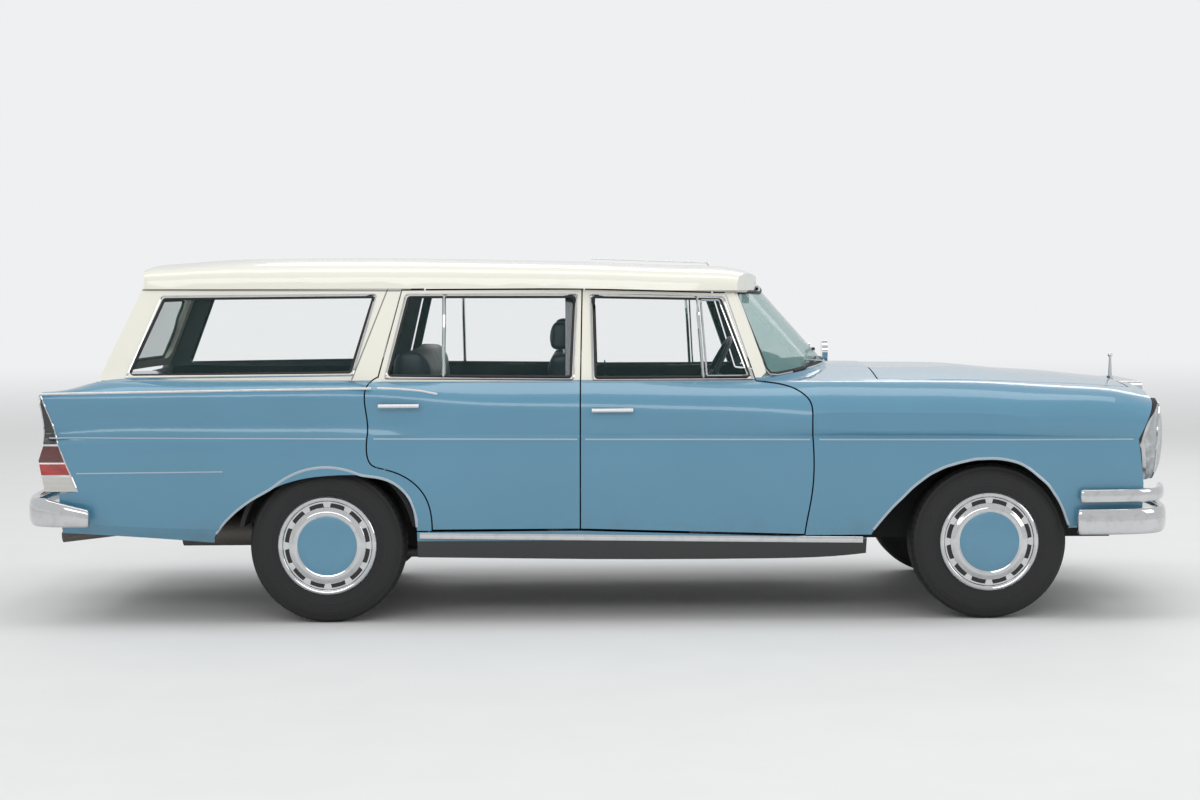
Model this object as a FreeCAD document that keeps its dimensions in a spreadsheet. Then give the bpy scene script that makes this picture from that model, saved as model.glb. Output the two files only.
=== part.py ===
import FreeCAD, Part
import math
import os
import Sketcher
from FreeCAD import Matrix, Placement, Rotation, Vector

# Four-door station wagon of the 1960s with small tail fins.
# +X points to the front, +Y to the car's left, +Z up. The origin is on the ground below the middle.

doc = FreeCAD.newDocument("station_wagon")

# Driving dimensions, in millimetres, degrees or counts. Each becomes a cell with an alias.

DIMENSIONS = (
    ("wheelbase", 2750, "front axle to rear axle"),
    ("front_overhang", 817.5, "front axle to the front bumper's face"),
    ("rear_overhang", 1307.5, "rear axle to the rear bumper's face"),
    ("belt_height", 1000, "ground to the foot of the side windows"),
    ("roof_height", 1522, "ground to the top of the roof"),
    ("body_width", 1764, "across the side crease"),
    ("front_track", 1482, "between the front tyres' middles"),
    ("rear_track", 1485, "between the rear tyres' middles"),
    ("overrun", 300, "how far a cutting tool runs past what it cuts"),
    ("panel_gap", 6, "shut line between two panels"),
    ("seat_gap", 0.3, "between a pane and its frame"),
    ("panel_wall", 28, "wings, bonnet and cowl"),
    ("quarter_wall", 44, "rear quarter panels"),
    ("door_wall", 70, "door below the windows"),
    ("frame_wall", 26, "window frames and pillars"),
    ("roof_wall", 22, "roof cap"),
    ("door_rim", 9, "outer lip all round a door"),
    ("door_rebate", 12, "how far the door's inner part stands back from its lip"),
    ("glass_inset", 9, "window glass behind the frame's face"),
    ("glass_wall", 5, "thickness of the glass"),
    ("pane_corner", 18, "corner radius of a side window"),
    ("hinge_inset_x", 66, "door hinge behind the door's front edge"),
    ("tyre_radius", 325, "outer radius of a tyre"),
    ("tyre_width", 185, "width of a tyre"),
    ("tyre_clearance", 35, "round a rear tyre in its box"),
    ("rim_radius", 178, "where the tyre seats"),
    ("rim_wall", 8, "wheel rim's metal"),
    ("trim_ring_radius", 205, "chrome ring round the wheel"),
    ("hub_cap_radius", 125, "painted disc"),
    ("cap_rim_radius", 149, "chrome edge of the hub cap"),
    ("slot_count", 12, "cooling slots in a wheel"),
    ("slot_width", 30, "a cooling slot round the wheel"),
    ("slot_depth", 16, "a cooling slot along the radius"),
    ("arch_radius", 350, "front wheel opening"),
    ("rear_arch_radius", 380, "rear wheel opening"),
    ("king_pin_offset", 660, "steering pivot from the car's middle"),
    ("hub_radius", 62, "wheel hub"),
    ("axle_radius", 38, "axle tube"),
    ("drum_radius", 125, "brake drum"),
    ("sill_width", 110, "sill box across the car"),
    ("post_width", 56, "centre post along the car"),
    ("post_wall", 40, "centre post across the car"),
    ("floor_wall", 18, "floor sheet with its ribs"),
    ("bumper_wall", 26, "bumper blade"),
    ("gate_wall", 60, "lower tailgate"),
    ("gate_gap", 8, "round the tailgate"),
    ("full_width", 1795, "over the door handles"),
    ("handle_radius", 9, "door handle's bar"),
    ("handle_post_radius", 7, "door handle's feet"),
    ("lamp_glass_wall", 5, "headlamp glass"),
    ("steering_wheel_radius", 200, "steering wheel's rim to its axis"),
    ("steering_rim_radius", 12, "steering wheel's rim section"),
    ("steering_boss_radius", 34, "steering wheel's boss"),
    ("steering_boss_length", 90, "boss and the column's end"),
    ("column_angle", 28, "steering column above level"),
    ("leg_width", 60, "chassis leg across the car"),
    ("leg_bottom", 300, "underside of the chassis legs"),
    ("load_floor", 585, "top of the load floor"),
    ("bracket_width", 50, "bumper bracket"),
    ("grille_corner", 42, "outer corner radius of the grille"),
    ("grille_frame", 34, "grille frame's width"),
    ("grille_bar", 7, "grille bar"),
    ("grille_bars", 11, "horizontal bars in the grille"),
    ("lamp_rim", 26, "headlamp's rim along the car"),
    ("shaft_radius", 32, "prop shaft"),
    ("shaft_rise", 40, "prop shaft above the axle"),
    ("shaft_clearance", 30, "between the prop shaft and its tunnel"),
    ("spring_radius", 55, "rear coil spring, outside"),
    ("spring_offset", 480, "rear spring from the middle"),
    ("drum_width", 60, "brake drum"),
    ("beam_length", 90, "front beam along the car"),
    ("beam_half", 560, "half the front beam"),
    ("beam_height", 60, "front beam's depth"),
    ("arm_width", 50, "front arm along the car"),
    ("arm_height", 26, "front arm's depth"),
    ("arm_spread", 105, "arms above and below the wheel centre"),
    ("pin_radius", 24, "steering pivot"),
    ("pin_gap", 0.3, "between a pivot and its arm"),
    ("engine_length", 720, "engine block"),
    ("engine_half", 170, "half the engine's width"),
    ("engine_height", 560, "engine block"),
    ("engine_bottom", 330, "underside of the engine"),
    ("tank_length", 420, "fuel tank"),
    ("tank_width", 230, "fuel tank"),
    ("tank_height", 190, "fuel tank"),
    ("tank_behind", 560, "fuel tank behind the rear axle"),
    ("tank_offset", 350, "fuel tank from the middle"),
    ("cushion_corner", 22, "rounding of the seats' corners"),
    ("stalk_radius", 7, "head restraint's stalk"),
    ("pipe_radius", 23, "exhaust pipe"),
    ("silencer_radius", 70, "exhaust silencer"),
    ("hanger_radius", 6, "exhaust hanger"),
    ("mirror_radius", 52, "door mirror"),
    ("stem_radius", 7, "mirror's stem"),
    ("aerial_radius", 3.5, "roof aerial"),
    ("finial_radius", 6, "bonnet finial"),
    ("finial_height", 105, "bonnet finial"),
)


class Sizes:
    """The sheet's values, each under its alias."""


s = Sizes()
sheet = doc.addObject("Spreadsheet::Sheet", "Sizes")
for row, (alias, value, note) in enumerate(DIMENSIONS, 1):
    sheet.set("A%d" % row, note)
    sheet.set("B%d" % row, str(value))
    sheet.setAlias("B%d" % row, alias)
doc.recompute()
for alias, value, note in DIMENSIONS:
    setattr(s, alias, float(sheet.get(alias)))

half_length = (s.rear_overhang + s.wheelbase + s.front_overhang) / 2
rear_axle_x = s.rear_overhang - half_length
front_axle_x = rear_axle_x + s.wheelbase


# Places on the car, from shares of the driving dimensions

def along(share):
    """Place along the car: 0 at the rear axle, 1 at the front axle, -1 and 2 at the bumpers."""
    if share < 0:
        return rear_axle_x + share * s.rear_overhang
    if share > 1:
        return front_axle_x + (share - 1) * s.front_overhang
    return rear_axle_x + share * s.wheelbase


def across(share):
    """Place across the car: 0 in the middle, 1 at the side crease."""
    return share * s.body_width / 2


def height(share):
    """Height: 0 on the ground, 1 at the foot of the windows, 2 at the top of the roof."""
    if share > 1:
        return s.belt_height + (share - 1) * (s.roof_height - s.belt_height)
    return share * s.belt_height


def follow(shares, place):
    """Value at a place on a smooth line through the (place, value) pairs."""
    if place <= shares[0][0]:
        return shares[0][1]
    if place >= shares[-1][0]:
        return shares[-1][1]
    slopes = []
    for index in range(len(shares)):
        before = shares[max(index - 1, 0)]
        after = shares[min(index + 1, len(shares) - 1)]
        slopes.append((after[1] - before[1]) / (after[0] - before[0]))
    for index in range(len(shares) - 1):
        x0, v0 = shares[index]
        x1, v1 = shares[index + 1]
        if place <= x1:
            span = x1 - x0
            t = (place - x0) / span
            bend0 = slopes[index] * span
            bend1 = slopes[index + 1] * span
            a = 2 * v0 - 2 * v1 + bend0 + bend1
            b = 3 * v1 - 3 * v0 - 2 * bend0 - bend1
            return v0 + bend0 * t + b * t ** 2 + a * t ** 3


# Shape helpers

def spline(points, shares=None):
    """Smooth edge through points; equal shares keep a loft's sections alike."""
    curve = Part.BSplineCurve()
    if shares:
        curve.interpolate(Points=points, Parameters=list(shares))
    else:
        curve.interpolate(points)
    return curve.toShape()


spline_steps = 25


def line(start, end):
    return Part.LineSegment(start, end).toShape()


def arc(start, middle, end):
    return Part.Arc(start, middle, end).toShape()


def rounded(points, radius):
    """Closed wire through corners, each rounded to the radius."""
    edges = []
    ends = []
    for index, corner in enumerate(points):
        before = (points[index - 1] - corner).normalize()
        after = (points[(index + 1) % len(points)] - corner).normalize()
        half = before.getAngle(after) / 2
        reach = radius / math.tan(half)
        bisector = (before + after).normalize()
        centre = corner + bisector * (radius / math.sin(half))
        ends.append((corner + before * reach, centre - bisector * radius, corner + after * reach))
    for index, (start, middle, end) in enumerate(ends):
        edges.append(arc(start, middle, end))
        edges.append(line(end, ends[(index + 1) % len(ends)][0]))
    return Part.Wire(edges)


def side_points(shares):
    """Outline points in side view, from (along, height) shares."""
    return [Vector(along(a), 0, height(h)) for a, h in shares]


def through_side(wire, low=None, high=None):
    """Solid that a side-view outline sweeps across the car, or from low to high in Y."""
    low = -s.body_width if low is None else low
    high = s.body_width if high is None else high
    face = Part.Face(wire)
    face.translate(Vector(0, low, 0))
    return face.extrude(Vector(0, high - low, 0))


def through_front(wire, low, high):
    """Solid that a front-view outline sweeps along the car."""
    face = Part.Face(wire)
    face.translate(Vector(low, 0, 0))
    return face.extrude(Vector(high - low, 0, 0))


def through_top(wire, low, high):
    """Solid that a plan outline sweeps upwards."""
    face = Part.Face(wire)
    face.translate(Vector(0, 0, low))
    return face.extrude(Vector(0, 0, high - low))


def block(x0, x1, y0, y1, z0, z1):
    corner = Vector(min(x0, x1), min(y0, y1), min(z0, z1))
    return Part.makeBox(abs(x1 - x0), abs(y1 - y0), abs(z1 - z0), corner)


def both_sides(shape):
    """The shape and its mirror image on the car's other side."""
    return Part.makeCompound([shape, mirrored(shape)])


def mirrored(shape):
    return shape.mirror(Vector(0, 0, 0), Vector(0, 1, 0))


def offset_wire(wire, distance):
    """The outline moved outwards by a distance, its curves as plain splines and arcs."""
    edges = []
    for edge in wire.makeOffset2D(distance, 0, False, False).Edges:
        if edge.Curve.TypeId in ("Part::GeomLine", "Part::GeomCircle"):
            edges.append(edge)
        else:
            edges.append(spline(edge.discretize(Number=spline_steps)))
    return Part.Wire(Part.__sortEdges__(edges))


nodes = []


def keep(obj):
    """Name an object as a finished piece."""
    nodes.append(obj)
    return obj


def piece(label, shape):
    """A finished piece whose form is worked out here, not by a feature."""
    obj = doc.addObject("Part::Feature", label)
    obj.Label = label
    obj.Shape = shape
    obj.Placement = Placement(Vector(0, 0, 0), Rotation())
    return keep(obj)


# The body's skin: lines that run the length of the car, as (along, across or height) shares

top_height_shares = ((-0.93, 1.0), (-0.74, 1.031), (0.07, 1.017), (0.385, 1.0), (0.65, 1.02),
                     (0.785, 1.086), (0.839, 1.086), (0.923, 1.073), (1.12, 1.034), (1.5, 0.995),
                     (1.78, 0.972), (1.9, 0.955))
belt_across_shares = ((-0.93, 0.80), (-0.74, 0.842), (-0.3, 0.872), (0.07, 0.887), (0.385, 0.892),
                      (0.65, 0.858), (0.785, 0.83), (1.0, 0.76), (1.5, 0.70), (1.9, 0.66))
belt_height_shares = ((-0.93, 0.968), (-0.80, 0.978), (-0.74, 1.029), (0.07, 1.015), (0.385, 1.0),
                      (0.65, 0.996), (0.785, 0.992), (1.12, 0.980), (1.5, 0.962), (1.9, 0.935))
crest_across_shares = ((-0.93, 0.925), (-0.6, 0.950), (0.0, 0.957), (0.12, 0.955), (0.22, 0.946),
                       (0.385, 0.942), (0.65, 0.922), (0.785, 0.90), (1.1, 0.87), (1.5, 0.86), (1.9, 0.83))
crest_height_shares = ((-0.93, 0.964), (-0.6, 0.971), (0.0, 0.979), (0.12, 0.972), (0.22, 0.962),
                       (0.385, 0.962), (0.65, 0.966), (0.785, 0.978), (1.1, 0.971), (1.65, 0.946),
                       (1.75, 0.930), (1.9, 0.895))
shoulder_across_shares = ((-0.93, 0.940), (-0.5, 0.965), (0.0, 0.976), (0.7, 0.977), (1.1, 0.972),
                          (1.65, 0.952), (1.9, 0.915))
shoulder_height_shares = ((-0.93, 0.905), (0.0, 0.920), (0.4, 0.918), (0.73, 0.912), (1.6, 0.890),
                          (1.9, 0.850))
crease_across_shares = ((-0.93, 0.940), (-0.5, 0.970), (0.0, 0.982), (0.7, 0.982), (1.1, 0.978),
                        (1.65, 0.955), (1.9, 0.920))
crease_height_shares = ((-0.93, 0.768), (0.0, 0.786), (0.4, 0.786), (0.73, 0.776), (1.2, 0.764),
                        (1.65, 0.756), (1.9, 0.742))
ledge_out_shares = ((-0.93, 0.008), (0.0, 0.011), (0.9, 0.011), (1.4, 0.008), (1.9, 0.002))
ledge_drop_share = 0.014
flank_across_shares = ((-0.93, 0.945), (-0.5, 0.972), (0.0, 0.990), (0.7, 0.990), (1.1, 0.984),
                       (1.65, 0.958), (1.9, 0.915))
flank_height_share = 0.60
tuck_across_shares = ((-0.93, 0.90), (-0.5, 0.935), (0.0, 0.955), (0.7, 0.957), (1.1, 0.95),
                      (1.65, 0.925), (1.9, 0.89))
tuck_height_shares = ((-0.93, 0.43), (-0.5, 0.40), (0.0, 0.39), (0.72, 0.36), (1.2, 0.37), (1.9, 0.42))
foot_across_shares = ((-0.93, 0.87), (-0.5, 0.90), (0.0, 0.91), (0.72, 0.91), (1.2, 0.91), (1.9, 0.86))
foot_height_shares = ((-0.93, 0.385), (-0.6, 0.36), (-0.3, 0.33), (0.1, 0.274), (0.72, 0.258),
                      (0.9, 0.30), (1.2, 0.36), (1.9, 0.385))
hull_station_shares = (-0.93, -0.85, -0.78, -0.70, -0.5, -0.2, 0.07, 0.2, 0.385, 0.55, 0.68, 0.785,
                       0.86, 1.0, 1.2, 1.45, 1.65, 1.78, 1.9)
upper_side_shares = (0.0, 0.22, 0.5, 1.0)
lower_side_shares = (0.0, 0.5, 1.0)


def hull_section(share, inset, open_below):
    """Closed section of the body across the car, moved inwards by inset."""
    x = along(share)
    belt_y = across(follow(belt_across_shares, share)) - inset
    belt_z = height(follow(belt_height_shares, share)) - inset
    top_z = height(follow(top_height_shares, share)) - inset
    crest_y = across(follow(crest_across_shares, share)) - inset
    crest_z = height(follow(crest_height_shares, share)) - inset
    shoulder_y = across(follow(shoulder_across_shares, share)) - inset
    shoulder_z = height(follow(shoulder_height_shares, share)) - inset / 2
    crease_y = across(follow(crease_across_shares, share)) - inset
    crease_z = height(follow(crease_height_shares, share))
    ledge_y = crease_y + across(follow(ledge_out_shares, share))
    ledge_z = crease_z - height(ledge_drop_share)
    flank_y = across(follow(flank_across_shares, share)) - inset
    flank_z = height(flank_height_share)
    tuck_y = across(follow(tuck_across_shares, share)) - inset
    tuck_z = height(follow(tuck_height_shares, share))
    foot_y = across(follow(foot_across_shares, share)) - inset
    foot_z = height(follow(foot_height_shares, share))
    if open_below:
        foot_z = foot_z - s.overrun

    def side(sign):
        belt = Vector(x, sign * belt_y, belt_z)
        crest = Vector(x, sign * crest_y, crest_z)
        shoulder = Vector(x, sign * shoulder_y, shoulder_z)
        crease = Vector(x, sign * crease_y, crease_z)
        ledge = Vector(x, sign * ledge_y, ledge_z)
        flank = Vector(x, sign * flank_y, flank_z)
        tuck = Vector(x, sign * tuck_y, tuck_z)
        foot = Vector(x, sign * foot_y, foot_z)
        return belt, crest, shoulder, crease, ledge, flank, tuck, foot

    left = side(1)
    right = side(-1)
    return Part.Wire([
        spline([right[0], Vector(x, 0, top_z), left[0]], lower_side_shares),
        spline(list(left[0:4]), upper_side_shares),
        line(left[3], left[4]),
        spline(list(left[4:7]), lower_side_shares),
        line(left[6], left[7]),
        line(left[7], right[7]),
        line(right[7], right[6]),
        spline([right[6], right[5], right[4]], lower_side_shares),
        line(right[4], right[3]),
        spline([right[3], right[2], right[1], right[0]], [1 - v for v in reversed(upper_side_shares)]),
    ])


def hull(inset=0, open_below=False):
    """The body below the windows as one solid."""
    sections = [hull_section(share, inset, open_below) for share in hull_station_shares]
    return Part.makeLoft(sections, True, False)


# The window band: four arcs in plan at its foot and at its head, joined by straight lines

band_foot_share = 0.80
band_head_share = 1.84


def band_outline(level, inset):
    """Plan outline at the foot (level 0) or head (level 1) of the window band."""
    z = height((band_foot_share, band_head_share)[level])
    front_x = along((0.861, 0.656)[level]) - inset
    front_corner_x = along((0.698, 0.610)[level]) - inset
    front_corner_y = across((0.931, 0.650)[level]) - inset
    side_y = across((0.961, 0.720)[level]) - inset
    rear_corner_x = along((-0.809, -0.589)[level]) + inset
    rear_corner_y = across((0.906, 0.690)[level]) - inset
    rear_x = along((-0.862, -0.618)[level]) + inset
    side_x = (front_corner_x + rear_corner_x) / 2
    front_left = Vector(front_corner_x, front_corner_y, z)
    front_right = Vector(front_corner_x, -front_corner_y, z)
    rear_left = Vector(rear_corner_x, rear_corner_y, z)
    rear_right = Vector(rear_corner_x, -rear_corner_y, z)
    return Part.Wire([
        arc(front_right, Vector(front_x, 0, z), front_left),
        arc(front_left, Vector(side_x, side_y, z), rear_left),
        arc(rear_left, Vector(rear_x, 0, z), rear_right),
        arc(rear_right, Vector(side_x, -side_y, z), front_right),
    ])


def band(inset=0):
    """The window band as one solid."""
    return Part.makeLoft([band_outline(0, inset), band_outline(1, inset)], True, True)


# The roof cap

roof_half_shares = ((-0.665, 0.63), (-0.64, 0.68), (-0.6, 0.71), (-0.3, 0.738), (0.1, 0.746),
                    (0.4, 0.744), (0.55, 0.722), (0.62, 0.694), (0.67, 0.66))
gutter_height_shares = ((-0.665, 1.753), (0.138, 1.745), (0.367, 1.739), (0.527, 1.715),
                        (0.604, 1.701), (0.67, 1.692))
roof_top_shares = ((-0.665, 1.79), (-0.65, 1.85), (-0.62, 1.93), (-0.551, 1.964), (-0.421, 1.987),
                   (-0.207, 2.0), (0.065, 2.0), (0.415, 1.954), (0.575, 1.918), (0.62, 1.905),
                   (0.645, 1.875), (0.67, 1.80))
roof_station_shares = (-0.665, -0.65, -0.62, -0.56, -0.42, -0.2, 0.065, 0.25, 0.415, 0.55, 0.62,
                       0.645, 0.67)
roof_section_shares = ((1.0, 0.0), (0.985, 0.42), (0.88, 0.76), (0.5, 0.95), (0.0, 1.0))
roof_curve_shares = (0.0, 0.10, 0.22, 0.35, 0.5, 0.65, 0.78, 0.90, 1.0)


def roof_section(share, inset):
    """Closed section of the roof cap, moved inwards by inset."""
    x = along(share)
    half = across(follow(roof_half_shares, share)) - inset
    low = height(follow(gutter_height_shares, share))
    rise = height(follow(roof_top_shares, share)) - low - inset
    if inset:
        low = low - inset
        rise = rise + inset
    left = [Vector(x, half * y, low + rise * z) for y, z in roof_section_shares]
    right = [Vector(x, -half * y, low + rise * z) for y, z in roof_section_shares]
    top = spline(left + right[-2::-1], roof_curve_shares)
    return Part.Wire([top, line(right[0], left[0])])


def roof_cap(inset=0):
    sections = [roof_section(share, inset) for share in roof_station_shares]
    return Part.makeLoft(sections, True, False)


# Shut lines in side view, as (along, height) shares

centre_seam_shares = ((0.387, 1.733), (0.384, 1.0), (0.3825, 0.389))
front_door_front_shares = ((0.721, 0.360), (0.723, 0.398), (0.731, 0.524), (0.734, 0.683),
                           (0.732, 0.840), (0.729, 0.914), (0.711, 0.960), (0.685, 0.984),
                           (0.650, 0.996))
front_door_top_share = (0.607, 1.695)
rear_door_top_share = (0.111, 1.734)
rear_door_rear_shares = ((0.0775, 1.042), (0.067, 1.008), (0.064, 0.816), (0.0625, 0.716),
                         (0.070, 0.663), (0.084, 0.648), (0.108, 0.628), (0.132, 0.588),
                         (0.150, 0.526), (0.158, 0.449), (0.159, 0.388))
front_pane_shares = ((0.402, 1.676), (0.601, 1.651), (0.644, 1.012), (0.405, 1.012))
rear_pane_shares = ((0.120, 1.686), (0.377, 1.678), (0.371, 1.018), (0.090, 1.044))
quarter_pane_shares = ((-0.537, 1.682), (0.070, 1.688), (0.037, 1.071), (-0.641, 1.062))


def front_door_outline():
    seam = side_points(centre_seam_shares)
    front = side_points(front_door_front_shares)
    top = side_points([front_door_top_share])[0]
    return Part.Wire([line(top, seam[0]), line(seam[0], seam[1]), line(seam[1], seam[2]),
                      line(seam[2], front[0]), spline(front), line(front[-1], top)])


def rear_door_outline():
    seam = side_points(centre_seam_shares)
    rear = side_points(rear_door_rear_shares)
    top = side_points([rear_door_top_share])[0]
    return Part.Wire([line(top, seam[0]), line(seam[0], seam[1]), line(seam[1], seam[2]),
                      line(seam[2], rear[-1]), spline(rear[::-1]), line(rear[0], top)])


front_door_line = front_door_outline()
rear_door_line = rear_door_outline()

# Solids that several pieces are cut from

skin = hull()
window_band = band()
window_frames = window_band.cut(band(s.frame_wall))
body_half = s.body_width / 2
ceiling = s.roof_height + s.overrun
right_half = block(along(-1), along(2), -s.body_width, 0, 0, ceiling)
skin_right = skin.common(right_half)


# Doors: an outer lip, and a thicker part that stands back from it

door_hollow = hull(s.door_wall, True)
door_lip_hull = hull(s.door_rim, True)
door_lip_band = band(s.door_rim)
door_band_hollow = band(s.door_wall)
glass_layer = band(s.glass_inset).cut(band(s.glass_inset + s.glass_wall))
handle_shares = {"front_door": (0.401, 0.463, 0.883), "rear_door": (0.081, 0.142, 0.906)}
handle_post_share = 0.2
frame_foot_share = 0.93


def door_handle(name):
    """A pull bar on two feet, its middle out at the car's full width."""
    rear, front, level = handle_shares[name]
    length = along(front) - along(rear)
    z = height(level)
    out = -s.full_width / 2 + s.handle_radius
    skin_y = -across(follow(shoulder_across_shares, rear)) + s.handle_radius
    start = along(rear)
    bar = Part.makeCylinder(s.handle_radius, length, Vector(start, out, z), Vector(1, 0, 0))
    shape = bar
    for share in (handle_post_share, 1 - handle_post_share):
        foot = Vector(start + length * share, skin_y, z)
        post = Part.makeCylinder(s.handle_post_radius, skin_y - out, foot, Vector(0, -1, 0))
        shape = shape.fuse(post)
    return shape


def door(name, outline, pane_shares):
    """The right-hand door of a pair."""
    gap = s.panel_gap / 2
    lip = through_side(offset_wire(outline, -gap), -s.body_width, 0)
    extent = outline.BoundBox
    rebate = block(extent.XMin - s.overrun, extent.XMax + s.overrun, -s.body_width, 0,
                   extent.ZMin - s.overrun, extent.ZMax + s.overrun)
    inner_line = offset_wire(outline, -gap - s.door_rebate)
    rebate = rebate.cut(through_side(inner_line, -s.body_width - s.overrun, s.overrun))
    low = skin_right.common(lip).cut(door_hollow).cut(door_band_hollow)
    low = low.cut(door_lip_hull.common(rebate))
    frame = window_frames.common(lip)
    frame = frame.common(block(along(-1), along(1), -body_half, 0, height(frame_foot_share), ceiling))
    frame = frame.cut(door_lip_band.common(rebate))
    window = through_side(rounded(side_points(pane_shares), s.pane_corner))
    return low.fuse([frame.cut(window), door_handle(name)])


def side_glass(pane_shares):
    """The right-hand pane between two insets of the window band."""
    opening = rounded(side_points(pane_shares), s.pane_corner)
    return glass_layer.common(through_side(offset_wire(opening, -s.seat_gap), -s.body_width, 0))


door_lines = {"front_door": front_door_line, "rear_door": rear_door_line}
pane_lines = {"front_door": front_pane_shares, "rear_door": rear_pane_shares}
for name in ("front_door", "rear_door"):
    right_door = door(name, door_lines[name], pane_lines[name])
    right_glass = side_glass(pane_lines[name])
    piece(name + "_right", right_door)
    piece(name + "_left", mirrored(right_door))
    piece(name + "_glass_right", right_glass)
    piece(name + "_glass_left", mirrored(right_glass))

door_hole = through_side(offset_wire(front_door_line, s.panel_gap / 2), -s.body_width, 0)
door_hole = door_hole.fuse(through_side(offset_wire(rear_door_line, s.panel_gap / 2), -s.body_width, 0))


# Wheel openings, about the wheel centres, as shares of the opening's radius

front_arch_shares = ((-1.47, -0.4), (-1.426, 0.05), (-1.094, 0.483), (-0.686, 0.83), (-0.36, 0.955),
                     (-0.034, 0.995), (0.291, 0.95), (0.57, 0.78), (0.81, 0.5), (0.945, 0.17),
                     (0.99, -0.4))
rear_arch_shares = ((-1.24, -0.3), (-1.205, 0.153), (-0.971, 0.40), (-0.618, 0.62), (-0.329, 0.725),
                    (0.10, 0.78), (0.547, 0.755), (0.779, 0.66), (0.924, 0.474), (0.985, 0.153),
                    (0.995, -0.3))


def arch(shares, axle_x, radius):
    """Solid that opens a wheel arch in the right-hand side."""
    points = [Vector(axle_x + a * radius, 0, s.tyre_radius + h * radius) for a, h in shares]
    foot_start = Vector(points[0].x, 0, -s.overrun)
    foot_end = Vector(points[-1].x, 0, -s.overrun)
    wire = Part.Wire([spline(points), line(points[-1], foot_end), line(foot_end, foot_start),
                      line(foot_start, points[0])])
    return through_side(wire, -s.body_width, -across(0.55))


front_arch = arch(front_arch_shares, front_axle_x, s.arch_radius)
rear_arch = arch(rear_arch_shares, rear_axle_x, s.rear_arch_radius)

# Shut lines of the bonnet and the cowl in plan, as (along, across) shares

bonnet_rear_share = 0.839
bonnet_front_share = 1.785
bonnet_side_shares = ((0.839, 0.76), (1.2, 0.70), (1.5, 0.645), (1.785, 0.585))
cowl_side_share = 0.76


def bonnet_wire(gap):
    """Plan outline of the bonnet, grown by a gap."""
    rear = along(bonnet_rear_share) - gap
    front = along(bonnet_front_share) + gap
    right = [Vector(along(a), -across(y) - gap, 0) for a, y in bonnet_side_shares]
    right[0].x = rear
    right[-1].x = front
    left = [Vector(p.x, -p.y, 0) for p in right]
    return Part.Wire([spline(right), line(right[-1], left[-1]), spline(left[::-1]),
                      line(left[0], right[0])])


bonnet_floor_share = 0.80
bonnet_cutter = through_top(bonnet_wire(0), height(bonnet_floor_share), ceiling)
bonnet_hole = through_top(bonnet_wire(s.panel_gap), height(bonnet_floor_share), ceiling)
panel_hollow = hull(s.panel_wall, True)

# The nose in side view: wings end here, lamps and grille stand ahead of it

nose_shares = ((1.846, 1.06), (1.846, 0.906), (1.757, 0.745), (1.785, 0.562), (1.782, 0.30))
nose_line = side_points(nose_shares)
grille_half_share = 0.35
grille_low_share = 0.50


def nose_solid(shift):
    """All that lies behind the nose's face, moved back by shift."""
    back = along(0.3)
    points = [p - Vector(shift, 0, 0) for p in nose_line]
    ends = [Vector(back, 0, points[-1].z), Vector(back, 0, points[0].z)]
    return through_side(Part.makePolygon(points + ends + points[:1]))


nose = nose_solid(0)
shell_right = skin_right.common(nose)
wing = shell_right.cut(panel_hollow).cut(band(s.frame_wall))
face = shell_right.cut(nose_solid(s.panel_wall))
grille_hole = block(along(1.6), along(2), 0, -across(grille_half_share), height(grille_low_share), ceiling)
face = face.cut(block(along(1.6), along(2), 0, -body_half, height(0.93), ceiling))
below_door = block(along(0.6), along(0.722), 0, -body_half, 0, height(0.5))
wing = wing.fuse(face).cut([bonnet_hole, door_hole, front_arch, grille_hole, below_door])
wing_keep = block(along(0.64), along(2), 0, -body_half, height(0.358), ceiling)
cowl_box = block(along(0.5), along(bonnet_rear_share) - s.panel_gap, 0,
                 -across(cowl_side_share), height(0.86), ceiling)
wing = wing.common(wing_keep).cut(cowl_box)
front = wing.fuse(mirrored(wing))
piece("front_fenders", front)

cowl = skin_right.cut(panel_hollow).common(cowl_box).cut(window_band)
cowl = cowl.fuse(mirrored(cowl))
piece("cowl", cowl)

bonnet = skin.cut(panel_hollow).common(bonnet_cutter).common(nose)
piece("bonnet", bonnet)

# Rear quarters and the tail panel

tail_shares = ((-0.905, 1.06), (-0.902, 0.966), (-0.852, 0.769), (-0.788, 0.557), (-0.850, 0.550),
               (-0.850, 0.30))
gate_half_share = 0.79
quarter_hollow = hull(s.quarter_wall, True)
quarter_band_hollow = band(s.quarter_wall)
gate_foot_share = 0.545
gate_head_share = 1.027
tail_points = side_points(tail_shares)
tail_forward = [Vector(along(0.4), 0, tail_points[-1].z), Vector(along(0.4), 0, tail_points[0].z)]
tail_solid = through_side(Part.makePolygon(tail_points + tail_forward + tail_points[:1]))
tail_skin = skin_right.common(tail_solid)
quarter = tail_skin.cut(quarter_hollow).cut(quarter_band_hollow)
quarter = quarter.common(block(along(-1), along(0.17), 0, -body_half, height(0.25), ceiling))
quarter = quarter.cut(door_hole).cut(rear_arch)
quarter = quarter.cut(block(along(0), along(0.17), 0, -body_half, 0, height(0.386)))
well = Part.makeCylinder(s.tyre_radius + s.tyre_clearance, across(0.958), Vector(rear_axle_x, 0, s.tyre_radius),
                         Vector(0, -1, 0))
quarter = quarter.cut(well)
gate_hole_half = across(gate_half_share) + s.gate_gap
gate_hole = block(along(-1), along(-0.70), 0, -gate_hole_half, height(gate_foot_share) - s.gate_gap,
                  ceiling)
quarter = quarter.cut(gate_hole)
quarter = quarter.cut(block(along(-1), along(0.0), 0, -across(0.72), 0, height(1.0)))
tail_panel = block(along(-0.850), along(-0.850) + s.panel_wall, 0, -across(0.86), height(0.385),
                   height(gate_foot_share) - s.gate_gap)
quarter = quarter.fuse(tail_panel)
tail_end = quarter.fuse(mirrored(quarter))
piece("rear_quarters", tail_end)

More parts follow.
